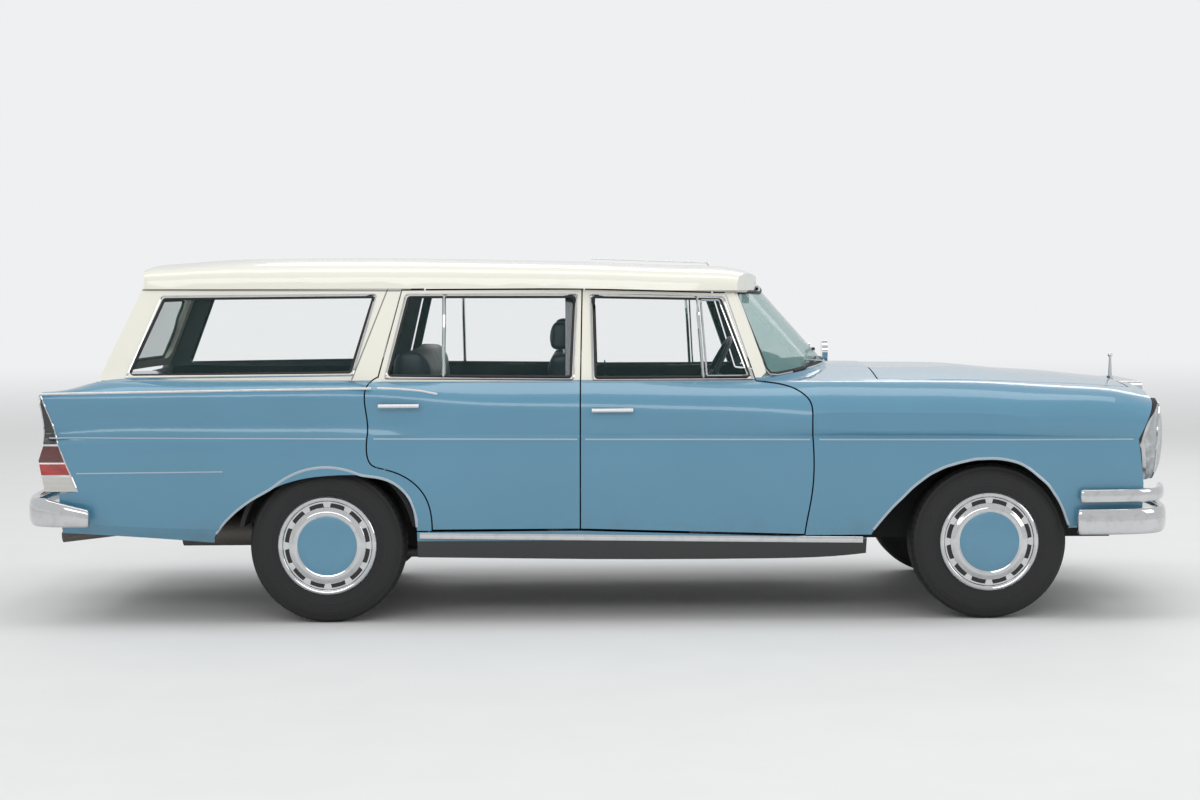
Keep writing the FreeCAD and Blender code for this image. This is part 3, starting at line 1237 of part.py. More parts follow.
mirror_place = Vector(along(0.810), across(0.90), height(1.13))
stem = run_of_tube([Vector(mirror_place.x + s.mirror_radius / 3, mirror_place.y, height(0.95)), mirror_place],
                   s.stem_radius)
mirror_head = Part.makeCylinder(s.mirror_radius, s.mirror_radius / 2, mirror_place - Vector(s.mirror_radius / 3, 0, 0),
                                Vector(1, 0, 0))
aerial_y = across(0.0)
aerial = run_of_tube([Vector(along(0.595), aerial_y, height(1.90)), Vector(along(0.588), aerial_y, height(1.945)),
                      Vector(along(0.40), aerial_y, height(1.985))], s.aerial_radius)
finial_place = Vector(along(1.835), 0, grille_high)
finial = Part.makeCylinder(s.finial_radius * 2.4, s.finial_radius * 2, finial_place)
finial = finial.fuse(Part.makeCone(s.finial_radius * 1.6, s.finial_radius * 0.8, s.finial_height, finial_place))
finial = finial.fuse(Part.makeSphere(s.finial_radius * 1.8, finial_place + Vector(0, 0, s.finial_height)))
piece("chrome_fittings", Part.makeCompound([stem.fuse(mirror_head).cut(skin), aerial.cut(roof_cap()), finial]))


# Write each piece

doc.recompute()
os.makedirs("parts", exist_ok=True)
for obj in doc.Objects:
    if "Invalid" in obj.State or "Error" in obj.State:
        raise RuntimeError("%s did not compute" % obj.Label)
for obj in nodes:
    if obj.Shape.isNull() or not obj.Shape.isValid() or not obj.Shape.Solids:
        raise RuntimeError("%s has no valid solid" % obj.Label)
for obj in nodes:
    obj.Shape.exportStep("parts/%s.step" % obj.Label)
    print(obj.Label, len(obj.Shape.Solids), round(obj.Shape.Volume / 1e6, 2), "litres")
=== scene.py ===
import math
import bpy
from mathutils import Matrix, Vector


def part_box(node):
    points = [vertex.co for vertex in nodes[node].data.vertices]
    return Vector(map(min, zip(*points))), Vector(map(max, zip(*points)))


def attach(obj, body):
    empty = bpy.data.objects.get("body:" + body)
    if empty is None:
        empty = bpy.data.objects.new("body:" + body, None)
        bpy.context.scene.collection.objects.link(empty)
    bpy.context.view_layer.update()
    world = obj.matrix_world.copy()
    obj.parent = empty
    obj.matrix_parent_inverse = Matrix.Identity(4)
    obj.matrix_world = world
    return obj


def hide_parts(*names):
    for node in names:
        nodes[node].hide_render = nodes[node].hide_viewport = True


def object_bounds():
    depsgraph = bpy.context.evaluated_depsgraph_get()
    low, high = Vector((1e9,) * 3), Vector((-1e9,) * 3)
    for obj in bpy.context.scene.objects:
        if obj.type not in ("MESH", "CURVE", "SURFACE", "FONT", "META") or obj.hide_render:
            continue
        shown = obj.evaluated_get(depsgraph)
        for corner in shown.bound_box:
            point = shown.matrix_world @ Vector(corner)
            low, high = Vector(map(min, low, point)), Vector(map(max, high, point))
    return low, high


bl_info = {
    "name": "Station wagon dressing",
    "version": (1, 0, 0),
    "blender": (4, 5, 0),
    "location": "3D View > Sidebar > Wagon",
    "description": "Paint, chrome, glass, wheels, trim and seats for the packed station wagon",
    "category": "Object",
}

import bpy
from mathutils import Vector
from mathutils.bvhtree import BVHTree

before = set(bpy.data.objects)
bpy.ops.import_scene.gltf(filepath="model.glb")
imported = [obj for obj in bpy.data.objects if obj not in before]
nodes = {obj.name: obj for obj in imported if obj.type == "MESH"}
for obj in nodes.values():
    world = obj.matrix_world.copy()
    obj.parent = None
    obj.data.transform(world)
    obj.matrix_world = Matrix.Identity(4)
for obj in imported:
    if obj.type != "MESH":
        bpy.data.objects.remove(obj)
cad_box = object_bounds()

# Places and sizes of the car, in metres, with x forwards and y to the left. Rays from a side start at BESIDE.
SIDES = (("right", -1), ("left", 1))
FRONT_AXLE = 1.620
REAR_AXLE = -1.130
TYRE_RADIUS = 0.325
TYRE_MIDDLE = 0.7415
BELT = 1.004
BESIDE = 1.3

# The side windows: part, outline (x, z), body, node round the window, node of the pane.
WINDOWS = (
    ("quarter", ((-1.832, 1.356), (-0.938, 1.359), (-1.029, 1.037), (-1.968, 1.029)),
     "body", "roof", "fixed_glass"),
    ("rear_door", ((-0.800, 1.358), (-0.0935, 1.354), (-0.110, 1.0135), (-0.8825, 1.023)),
     "rear_door_{}", "rear_door_{}", "rear_door_glass_{}"),
    ("front_door", ((-0.0245, 1.353), (0.5228, 1.340), (0.641, 1.0085), (-0.0163, 1.010)),
     "front_door_{}", "front_door_{}", "front_door_glass_{}"),
)
REAR_DIVIDER = ((-0.645, 1.357), (-0.645, 1.021))
VENT_DIVIDER = ((0.417, 1.346), (0.439, 1.008))
VENT_WINDOW = ((0.434, 1.332), (0.512, 1.331), (0.626, 1.017), (0.454, 1.017))

# Bright strips: piece, body, nodes below it, and its lines: places, lift, step, half width, half height.
STRIPS = (
    ("fin_strip_{}", "body", ("rear_quarters", "roof"),
     ((((-2.316, 0.962), (-1.9, 0.968), (-1.4, 0.974), (-0.938, 0.978)), 0.001, 0.08, 0.004, 0.002),)),
    ("quarter_belt_{}", "body", ("rear_quarters", "roof"),
     ((((-2.075, 1.012), (-1.6, 1.011), (-0.945, 1.007)), 0.0015, 0.08, 0.0035, 0.0),)),
    ("rear_door_strips_{}", "rear_door_{}", ("rear_door_{}",),
     ((((-0.915, 0.978), (-0.83, 0.975), (-0.74, 0.967), (-0.665, 0.953)), 0.001, 0.03, 0.0035, 0.002),
      (((-0.905, 1.003), (-0.5, 1.001), (-0.098, 0.999)), 0.0015, 0.08, 0.0035, 0.0))),
    ("front_door_strip_{}", "front_door_{}", ("front_door_{}",),
     ((((-0.066, 0.999), (0.3, 0.997), (0.655, 0.994)), 0.0015, 0.08, 0.0035, 0.0),)),
)
SILL_LINE = ((-0.745, 0.3655), (0.2, 0.351), (1.095, 0.337))

# The pressed line along the side: piece, node, body, first and last x, and the axle of a wheel arch.
CREASES = (
    ("rear_quarters_creases_{}", "rear_quarters", "body", -2.275, -0.962, REAR_AXLE),
    ("rear_door_{}_creases", "rear_door_{}", "rear_door_{}", -0.930, -0.088, None),
    ("front_door_{}_creases", "front_door_{}", "front_door_{}", -0.056, 0.872, None),
    ("front_fenders_creases_{}", "front_fenders", "body", 0.910, 2.215, FRONT_AXLE),
)
LOWER_CREASE = ((-2.165, 0.633), (-1.555, 0.6385))

# Bumper blades: outer face in plan (x, y), level, half height, half thickness, share of height at the ends.
FRONT_BLADE = ((2.4375, 0.0), (2.4310, 0.300), (2.4089, 0.582), (2.3762, 0.7585), (2.3067, 0.851),
               (2.1514, 0.8864), (1.978, 0.889))
CORNER_BLADE = ((2.4050, 0.560), (2.3762, 0.7200), (2.3067, 0.8400), (2.1514, 0.8800), (1.990, 0.886))
REAR_BLADE = ((-2.4375, 0.0), (-2.4323, 0.300), (-2.4179, 0.582), (-2.3891, 0.7585), (-2.3394, 0.8423),
              (-2.2152, 0.8800), (-2.110, 0.8838))
BLADE_SIDES = 24
BLADE_STEP = 0.03
BLADE_TAPER = 0.20
BLADE_CLOSING = (0.55, 0.86, 0.97)
BUMPERS = (
    ("front_bumper", ((FRONT_BLADE, 0.4085, 0.0545, 0.019, 1.0), (CORNER_BLADE, 0.515, 0.028, 0.013, 1.0))),
    ("rear_bumper", ((REAR_BLADE, 0.470, 0.0600, 0.021, 0.62),)),
)

# Profiles of the wheel cover: radius, distance out from the wheel's face.
COVER_RING = ((0.2055, -0.010), (0.2060, -0.002), (0.2030, 0.0035), (0.1970, 0.0065), (0.1900, 0.0050),
              (0.1850, 0.0000), (0.1830, -0.0060), (0.1790, -0.0060), (0.1790, -0.0120))
COVER_WEB = ((0.1835, -0.0135), (0.1835, -0.0060), (0.1590, -0.0070), (0.1590, -0.0135))
COVER_CAP = ((0.1600, -0.0140), (0.1600, -0.0020), (0.1570, 0.0010), (0.1500, 0.0030), (0.1460, 0.0065),
             (0.1400, 0.0090), (0.1330, 0.0095), (0.1270, 0.0080), (0.1235, 0.0060))
HUB_DISC = ((0.1245, 0.0020), (0.1240, 0.0062), (0.1200, 0.0080), (0.0900, 0.0098), (0.0600, 0.0112),
            (0.0300, 0.0120), (0.0080, 0.0122))
SLOT_RADIUS = 0.171
LOCK_KNOB = ((0.0030, 0.0), (0.0030, 0.030), (0.0045, 0.034), (0.0045, 0.042), (0.0030, 0.045))

# Number plates: name, level, way out, body and the node behind; half thickness, width and height.
PLATES = (
    ("front", 0.425, 1, "body", "front_bumper"),
    ("rear", 0.640, -1, "lower_tailgate", "tailgate_lower"),
)
PLATE_HALF = Vector((0.004, 0.235, 0.052))
PLATE_GAP = 0.0045

# Seat pads: outline (x, z), inner and outer y, and how far the pad may swell past its outline.
FRONT_PADS = (
    (((-0.140, 0.375), (0.400, 0.415), (0.408, 0.570), (-0.030, 0.520)), 0.095, 0.612, 0.012),
    (((-0.070, 0.525), (0.020, 0.548), (-0.105, 1.096), (-0.208, 1.090)), 0.095, 0.612, 0.010),
    (((-0.206, 1.120), (-0.128, 1.120), (-0.122, 1.234), (-0.196, 1.238)), 0.225, 0.472, 0.004),
)
REAR_PADS = (
    (((-0.715, 0.375), (-0.258, 0.375), (-0.252, 0.570), (-0.700, 0.535)), -0.638, 0.638, 0.012),
    (((-0.762, 0.560), (-0.668, 0.535), (-0.748, 1.108), (-0.862, 1.112), (-0.858, 0.620)),
     -0.638, 0.638, 0.010),
)
HEAD_ROD = ((-0.140, 1.05), (-0.150, 1.10), (-0.158, 1.15))
MIRROR_STEM = ((0.668, 1.350), (0.676, 1.385), (0.664, 1.412))

# The stage: lamps with their place, aim, size and power, and the camera.
LAMPS = (
    ("top_lamp", (0, -0.5, 7.0), (0, 0, 0), (10.0, 3.0), 170),
    ("near_lamp", (-1.5, -9.0, 5.0), (0, 0, 0.5), (9.0, 2.0), 150),
    ("far_lamp", (1.5, 8.0, 5.0), (0, 0, 0.6), (9.0, 2.0), 110),
    ("nose_lamp", (8.0, -3.0, 3.5), (1.5, 0, 0.6), (3.0, 3.0), 60),
)
FAR_GLOW = (0.86, 0.87, 0.88)
SKY = (0.90, 0.91, 0.92)
SKY_STRENGTH = 0.78
CAMERA_X = 0.010
CAMERA_TILT = 3.12
CAMERA_TURN = 0.37
LENS = 68.7


class WagonSizes(bpy.types.PropertyGroup):
    """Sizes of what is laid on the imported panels."""

    bead: bpy.props.FloatProperty(
        name="Trim bead", description="Half the width of a chrome bead", default=0.0045, unit="LENGTH")
    rubber: bpy.props.FloatProperty(
        name="Rubber seal", description="Half the width of a window seal", default=0.007, unit="LENGTH")
    sill_strip: bpy.props.FloatProperty(
        name="Sill strip", description="Half the height of the sill strip", default=0.011, unit="LENGTH")
    cover_slots: bpy.props.IntProperty(
        name="Slots", description="Cooling slots round a wheel cover", default=12)
    tread_pitch: bpy.props.FloatProperty(
        name="Tread pitch", description="Length of one tread block", default=0.032, unit="LENGTH")
    puff: bpy.props.FloatProperty(
        name="Seat puff", description="How far a cushion may swell", default=0.022, unit="LENGTH")
    camera_height: bpy.props.FloatProperty(
        name="Camera height", description="Camera above the floor", default=1.440, unit="LENGTH")
    camera_distance: bpy.props.FloatProperty(
        name="Camera distance", description="Camera to the car's middle", default=10.3, unit="LENGTH")


class WagonColours(bpy.types.PropertyGroup):
    """Colours of the finishes."""

    body: bpy.props.FloatVectorProperty(
        name="Body", description="Body paint", default=(0.092, 0.265, 0.392), size=3, subtype="COLOR")
    roof: bpy.props.FloatVectorProperty(
        name="Roof", description="Roof and frames", default=(0.86, 0.84, 0.74), size=3, subtype="COLOR")
    chrome: bpy.props.FloatVectorProperty(
        name="Chrome", description="Bright metal", default=(0.66, 0.67, 0.68), size=3, subtype="COLOR")
    cabin: bpy.props.FloatVectorProperty(
        name="Cabin", description="Seats and trim", default=(0.012, 0.018, 0.030), size=3, subtype="COLOR")
    rubber: bpy.props.FloatVectorProperty(
        name="Rubber", description="Tyres, seals", default=(0.014, 0.014, 0.015), size=3, subtype="COLOR")
    glass: bpy.props.FloatVectorProperty(
        name="Glass", description="Window glass", default=(0.34, 0.62, 0.60), size=3, subtype="COLOR")
    red: bpy.props.FloatVectorProperty(
        name="Red lamp", description="Tail lamp", default=(0.42, 0.012, 0.010), size=3, subtype="COLOR")
    underside: bpy.props.FloatVectorProperty(
        name="Underside", description="Underbody", default=(0.022, 0.023, 0.024), size=3, subtype="COLOR")
    floor: bpy.props.FloatVectorProperty(
        name="Floor", description="Studio floor", default=(0.80, 0.80, 0.79), size=3, subtype="COLOR")


class Wire:
    """A value that changes over a surface; arithmetic on it adds Math nodes."""

    def __init__(self, paint, socket):
        self.paint, self.socket = paint, socket

    def math(self, operation, first, second=0):
        return self.paint.node("ShaderNodeMath", {"operation": operation}, {0: first, 1: second})

    def __add__(self, other):
        return self.math("ADD", self, other)

    __radd__ = __add__

    def __sub__(self, other):
        return self.math("SUBTRACT", self, other)

    def __rsub__(self, other):
        return self.math("SUBTRACT", other, self)

    def __mul__(self, other):
        return self.math("MULTIPLY", self, other)

    __rmul__ = __mul__

    def __pow__(self, other):
        return self.math("POWER", self, other)

    def __abs__(self):
        return self.math("ABSOLUTE", self)

    def least(self, other):
        return self.math("MINIMUM", self, other)

    def most(self, other):
        return self.math("MAXIMUM", self, other)

    def sine(self):
        return self.math("SINE", self)

    def zigzag(self, half):
        """Up and down between 0 and half."""
        return self.math("PINGPONG", self, half)

    def rise(self, low, high):
        """0 below low, 1 above high, smooth between."""
        return self.paint.node("ShaderNodeMapRange", {"interpolation_type": "SMOOTHSTEP"},
                               {0: self, 1: low, 2: high, 3: 0.0, 4: 1.0})

    def near(self, middle, half, soft):
        """1 within half of middle, fading over soft."""
        return 1 - abs(self - middle).rise(half, half + soft)


class Paint:
    """A finish: its nodes come from node(), and what varies is fed to the shader by name."""

    def __init__(self, name, **constants):
        self.colours = bpy.context.scene.wagon_colours
        self.material = bpy.data.materials.new(name)
        self.material.use_nodes = True
        self.tree = self.material.node_tree
        self.shader = self.tree.nodes["Principled BSDF"]
        self.place = self.node("ShaderNodeTexCoord", output="Object")
        self.x, self.y, self.z = (self.part(self.place, axis) for axis in "XYZ")
        for key, value in constants.items():
            self.shader.inputs[key.replace("_", " ")].default_value = value

    def feed(self, **values):
        for key, value in values.items():
            self.tree.links.new(value.socket, self.shader.inputs[key.replace("_", " ")])

    def node(self, kind, settings=None, values=None, output=0):
        made = self.tree.nodes.new(kind)
        for key, value in (settings or {}).items():
            setattr(made, key, value)
        for key, value in (values or {}).items():
            if isinstance(value, Wire):
                self.tree.links.new(value.socket, made.inputs[key])
            else:
                made.inputs[key].default_value = value
        return Wire(self, made.outputs[output])

    def part(self, vector, axis):
        return self.node("ShaderNodeSeparateXYZ", values={0: vector}, output=axis)

    def colour(self, first, second, factor):
        """From one colour to another by a mask."""
        first, second = (c if isinstance(c, Wire) else (*c[:3], 1) for c in (first, second))
        return self.node("ShaderNodeMix", {"data_type": "RGBA"}, {0: factor, 6: first, 7: second}, output=2)

    def tones(self, base, low, high, factor):
        """From one shade of a colour to another."""
        return self.colour(shade(base, low), shade(base, high), factor)

    def noise(self, scale, detail=3.0, roughness=0.55):
        return self.node("ShaderNodeTexNoise", values={"Vector": self.place, "Scale": scale, "Detail": detail,
                                                       "Roughness": roughness})

    def cells(self, scale):
        return self.node("ShaderNodeTexVoronoi", {"feature": "F1"}, {"Vector": self.place, "Scale": scale})

    def bands(self, axis, scale):
        return self.node("ShaderNodeTexWave", {"wave_type": "BANDS", "bands_direction": axis},
                         {"Vector": self.place, "Scale": scale, "Distortion": 0.0})

    def facing(self, axis):
        return self.part(self.node("ShaderNodeTexCoord", output="Normal"), axis)

    def outward(self):
        """1 where a face looks away from the car's middle line, 0 where it looks in."""
        return (self.facing("Y") * self.y).rise(0.02, 0.10)

    def shows(self):
        """1 on the body's outer skin: sides, nose, tail and top."""
        ends = (self.facing("X") * self.x).rise(0.45, 0.7) * abs(self.x).rise(2.02, 2.06)
        top = self.facing("Z").rise(0.25, 0.45) * self.z.rise(0.80, 0.84)
        return self.outward().most(ends).most(top)

    def from_axle(self, axle_x):
        """Distance from an axle: forwards, upwards and straight."""
        ahead, up = self.x - axle_x, self.z - TYRE_RADIUS
        return ahead, up, (ahead * ahead + up * up) ** 0.5

    def body_blue(self, cloud):
        return self.tones(self.colours.body, 0.93, 1.06, cloud)

    def peel(self):
        """The slight waviness and orange peel of sprayed panels."""
        return self.bump(self.noise(900.0, 1.0) * 0.02 + self.noise(6.0, 2.0) * 0.25, 0.35, 0.001)

    def bump(self, height, strength, distance):
        return self.node("ShaderNodeBump", values={"Strength": strength, "Distance": distance,
                                                   "Height": height})


def shade(first, share):
    return tuple(part * share for part in first)


def shares(count):
    """0 to 1 in even steps."""
    return [i / count for i in range(count + 1)]


def trim_tone(paint):
    """The dark grain of the inside trim."""
    return paint.tones(paint.colours.cabin, 1.0, 1.8, paint.noise(300.0, 4.0).rise(0.4, 0.7))


def body_paint(name, kind="panel"):
    """Blue paint: a panel is sealed inside, a door has a cream frame and dark trim, a sill has dark posts."""
    paint = Paint(name, Coat_Weight=1.0, Coat_Roughness=0.04, IOR=1.45)
    colours = paint.colours
    cloud = paint.noise(2.2, 2.0)
    # Darker and rougher in patches towards the bottom of the panels.
    low_darkening = (1 - paint.z.rise(0.30, 0.50)) * paint.noise(9.0, 6.0, 0.7).rise(0.35, 0.75)
    blue = paint.colour(paint.body_blue(cloud), (0.10, 0.10, 0.09), low_darkening * 0.35)
    outside = paint.outward() if kind == "door" else paint.shows()
    rough = 0.30 + low_darkening * 0.25 + (1 - outside) * 0.25 + paint.noise(40.0, 4.0) * 0.03
    if kind == "door":
        cream = paint.tones(colours.roof, 0.97, 1.0, cloud)
        tone = paint.colour(blue, cream, paint.z.rise(BELT - 0.001, BELT + 0.001))
        tone = paint.colour(tone, trim_tone(paint), 1 - outside)
        handle = abs(paint.y).rise(0.8845, 0.8855) * paint.z.near(0.8945, 0.022, 0.002)
        tone = paint.colour(tone, colours.chrome, handle)
        rough = rough * (1 - handle) + 0.07 * handle
        paint.feed(Metallic=handle, Coat_Weight=1 - handle)
    else:
        tone = paint.colour(blue, colours.underside, 1 - outside)
    if kind == "sill":
        tone = paint.colour(tone, trim_tone(paint), paint.z.rise(0.40, 0.41))
        # Below the sill strip, half the underside colour: painted shade under the sill.
        tone = paint.colour(shade(colours.underside, 0.5), tone, paint.z.rise(0.338, 0.344))
    paint.feed(Base_Color=tone, Roughness=rough, Normal=paint.peel())
    return paint.material


def lid_paint(name):
    """Blue paint, sealed on what looks down."""
    paint = Paint(name, Coat_Weight=1.0, Coat_Roughness=0.04)
    blue = paint.body_blue(paint.noise(2.2, 2.0))
    paint.feed(Base_Color=paint.colour(paint.colours.underside, blue, paint.facing("Z").rise(-0.5, -0.3)),
               Roughness=0.30 + paint.noise(40.0, 4.0) * 0.04, Normal=paint.peel())
    return paint.material


def enamel(name, base, low, high, cloud, rough, speckle=40.0, coat=0.04):
    """Gloss paint in one colour, a little cloudy."""
    paint = Paint(name, Coat_Weight=1.0, Coat_Roughness=coat)
    paint.feed(Base_Color=paint.tones(base, low, high, paint.noise(*cloud)),
               Roughness=rough + paint.noise(speckle) * 0.05,
               Normal=paint.bump(paint.noise(900.0, 1.0), 0.02, 0.001))
    return paint.material


def roof_paint(name):
    """Cream roof; the pillars' foot below the belt is blue, and the lining looks down."""
    paint = Paint(name, Coat_Weight=1.0, Coat_Roughness=0.05, IOR=1.45)
    colours = paint.colours
    cloud = paint.noise(1.7, 2.0)
    up = paint.facing("Z")
    under = (1 - up.rise(-0.55, -0.35)) * paint.z.rise(1.36, 1.38)
    lining = paint.colour((0.46, 0.45, 0.40), (0.56, 0.55, 0.50), paint.noise(700.0, 2.0))
    tone = paint.colour(paint.tones(colours.roof, 0.96, 1.0, cloud), lining, under)
    inward = (1 - paint.outward()) * (1 - up.rise(0.2, 0.4)) * (1 - paint.z.rise(1.40, 1.42))
    tone = paint.colour(tone, shade(colours.cabin, 1.5), inward.rise(0.6, 0.9) * 0.85)
    seams = 0
    for top_x, top_z, foot_x, foot_z in ((-1.954, 1.356, -2.118, 1.008), (-0.894, 1.360, -1.028, 1.008)):
        slope = (top_x - foot_x) / (top_z - foot_z)
        aside = paint.x - (foot_x + (paint.z - foot_z) * slope)
        seams = seams + aside.near(0.0, 0.0022, 0.0015) * (1 - paint.z.rise(1.385, 1.390))
    tone = paint.colour(tone, (0.05, 0.05, 0.045), seams * 0.8)
    # A dark line along the roof's side, under the edge of its cap: a painted shadow.
    gutter_shadow = (paint.z - (1.3735 + paint.x * -0.0085)).near(0.0, 0.003, 0.002) * paint.outward()
    tone = paint.colour(tone, (0.08, 0.08, 0.07), gutter_shadow * 0.7)
    foot = paint.x.rise(0.70, 0.702) * (1 - paint.z.rise(1.078, 1.080))
    above = paint.z.rise(BELT + 0.004, BELT + 0.006) * (1 - foot)
    tone = paint.colour(paint.body_blue(cloud), tone, above)
    height = paint.noise(900.0, 1.0) * 0.02 + paint.noise(5.0, 2.0) * 0.25 - seams * 2.0
    paint.feed(Base_Color=tone, Roughness=0.32 + under * 0.5 + paint.noise(30.0) * 0.05,
               Coat_Weight=1 - under, Normal=paint.bump(height, 0.3, 0.001))
    return paint.material


def chrome(name, tint=1.0):
    """Bright plating, slightly smeared."""
    paint = Paint(name, Metallic=1.0)
    smear = paint.noise(25.0, 5.0, 0.65).rise(0.45, 0.8)
    paint.feed(Base_Color=paint.tones(paint.colours.chrome, tint, 0.82 * tint, smear),
               Roughness=0.06 + smear * 0.10, Normal=paint.bump(paint.noise(12.0, 2.0), 0.04, 0.002))
    return paint.material


def glass(name, tint, least, edge, film, rough, flutes=False):
    """Glass that hides least where it is seen face on; the headlamps' is fluted."""
    paint = Paint(name, IOR=1.5, Specular_IOR_Level=0.6)
    rim = paint.node("ShaderNodeLayerWeight", values={"Blend": 0.28}, output="Fresnel")
    dust = paint.noise(7.0, 5.0, 0.6).rise(0.45, 0.85)
    paint.feed(Base_Color=paint.colour(tint, (0.75, 0.78, 0.78), dust * 0.4),
               Alpha=least + rim * edge + dust * film, Roughness=rough + dust * 0.05)
    if flutes:
        paint.feed(Normal=paint.bump(paint.bands("Y", 42.0), 0.35, 0.003))
    return paint.material


def rubber(name):
    paint = Paint(name)
    worn = paint.noise(60.0, 5.0, 0.7)
    paint.feed(Base_Color=paint.tones(paint.colours.rubber, 0.8, 2.0, worn),
               Roughness=0.5 + worn * 0.25, Normal=paint.bump(paint.noise(500.0, 3.0), 0.15, 0.001))
    return paint.material


def tyre_rubber(name, axle_x):
    """Tread blocks, shoulder ribs and sidewall rings, by the distance from the axle."""
    paint = Paint(name)
    ahead, up, radius = paint.from_axle(axle_x)
    turn = paint.x.math("ARCTAN2", up, ahead)
    tread = radius.rise(0.312, 0.316)
    across = abs(abs(paint.y) - TYRE_MIDDLE)
    blocks = round(math.tau * TYRE_RADIUS / bpy.context.scene.wagon_sizes.tread_pitch)
    phase = turn * (blocks / math.tau) + paint.y.zigzag(0.012) * 22.0
    cut = phase.math("FRACT", phase).near(0.5, 0.10, 0.06) * across.rise(0.010, 0.014)
    grooves = cut.most(across.zigzag(0.013).rise(0.0095, 0.0115)) * tread
    rings = (radius * 900.0).sine() * radius.near(0.262, 0.014, 0.004)
    step = radius.near(0.292, 0.003, 0.002) + radius.near(0.232, 0.002, 0.002)
    serration = (turn * 260.0).sine() * radius.near(0.222, 0.005, 0.002)
    height = rings * 0.25 + step * 1.2 + serration * 0.3 - grooves * 6.0
    worn = paint.noise(30.0, 6.0, 0.7)
    # The grooves are painted near black: painted shade in the tread.
    tone = paint.colour(paint.tones(paint.colours.rubber, 0.55, 1.3, worn), (0.003, 0.003, 0.003), grooves)
    tone = paint.colour(tone, (0.04, 0.037, 0.03), tread * (1 - grooves) * worn.rise(0.4, 0.8) * 0.5)
    paint.feed(Base_Color=tone, Roughness=0.55 + worn * 0.25, Normal=paint.bump(height, 0.8, 0.001))
    return paint.material


def wheel_paint(name, axle_x):
    """Dark, dusty steel with a bright outer lip."""
    paint = Paint(name, Coat_Weight=0.4, Coat_Roughness=0.1)
    radius = paint.from_axle(axle_x)[2]
    dusty = paint.noise(35.0, 6.0, 0.7)
    steel = paint.colour((0.03, 0.032, 0.034), (0.10, 0.095, 0.085), dusty)
    lip = radius.rise(0.182, 0.186) * (abs(paint.y) - 0.79).rise(0.0, 0.004)
    paint.feed(Base_Color=paint.colour(steel, paint.colours.chrome, lip), Metallic=lip,
               Roughness=0.55 - lip * 0.47 + dusty * 0.05,
               Normal=paint.bump(paint.noise(200.0, 3.0), 0.1, 0.001))
    return paint.material


def sealed_underside(name):
    """Sealing compound with dried mud."""
    paint = Paint(name)
    lumps = paint.noise(120.0, 6.0, 0.65)
    mud = paint.noise(4.0, 6.0, 0.7).rise(0.45, 0.7)
    tone = paint.tones(paint.colours.underside, 0.91, 2.08, lumps)
    paint.feed(Base_Color=paint.colour(tone, (0.085, 0.075, 0.058), mud * 0.25),
               Roughness=0.65 + mud * 0.2, Normal=paint.bump(lumps, 0.5, 0.002))
    return paint.material


def floor_and_load_bay(name):
    """Body floor: sealed below, carpet in the cabin, ribbed rubber mat in the load bay."""
    paint = Paint(name)
    colours = paint.colours
    in_cabin = paint.x.rise(-2.2, -2.15) * (1 - paint.x.rise(0.93, 0.96)) * paint.z.rise(0.30, 0.33)
    covered = paint.facing("Z").rise(0.35, 0.6) * in_cabin
    bay = (1 - paint.x.rise(-0.84, -0.82)) * covered
    lumps = paint.noise(120.0, 6.0, 0.65)
    loops = paint.noise(850.0, 2.0, 0.8)
    rib = (paint.y * 260.0).sine().rise(-0.4, 0.4)
    under = paint.tones(colours.underside, 0.7, 1.7, lumps)
    carpet = paint.tones(colours.cabin, 1.2, 3.0, loops)
    # The mat is lighter on its ribs and darker between them: painted light and shade.
    mat = paint.tones(colours.cabin, 1.0, 2.2, rib)
    height = lumps * (1 - covered) + loops * covered * 0.6 + rib * bay
    paint.feed(Base_Color=paint.colour(paint.colour(under, carpet, covered), mat, bay),
               Roughness=0.75 + loops * 0.2, Normal=paint.bump(height, 0.6, 0.002))
    return paint.material


def cabin_vinyl(name, share, grain):
    """Grained vinyl with a soft sheen."""
    paint = Paint(name, Sheen_Weight=0.15, Sheen_Roughness=0.4)
    wear = paint.noise(6.0, 5.0, 0.6)
    paint.feed(Base_Color=paint.tones(paint.colours.cabin, 0.8 * share, 1.9 * share, wear),
               Roughness=0.36 + wear * 0.2, Normal=paint.bump(paint.cells(grain), 0.25, 0.0008))
    return paint.material


def seat_vinyl(name, pitch, inner, outer):
    """Grained seat cover with stitched pleats between two distances from the car's middle."""
    paint = Paint(name, Sheen_Weight=0.04, Sheen_Roughness=0.35)
    colours = paint.colours
    middle = abs(paint.y).near((inner + outer) / 2, (outer - inner) / 2, 0.004)
    channel = (1 - paint.y.zigzag(pitch / 2).rise(0.0, 0.006)) * middle
    thread = channel * (paint.x * 900.0 + paint.z * 900.0).sine().rise(0.1, 0.5)
    wear = paint.noise(7.0, 5.0, 0.6)
    tone = paint.tones(colours.cabin, 0.6, 1.4, wear)
    # The pleats' channels are a darker copy of the cabin colour: painted shade.
    tone = paint.colour(tone, shade(colours.cabin, 0.3), channel)
    tone = paint.colour(tone, (0.05, 0.065, 0.09), thread * 0.5)
    paint.feed(Base_Color=tone, Roughness=0.38 + wear * 0.18,
               Normal=paint.bump(paint.cells(380.0) * 0.12 - channel * 4.0, 0.7, 0.0012))
    return paint.material


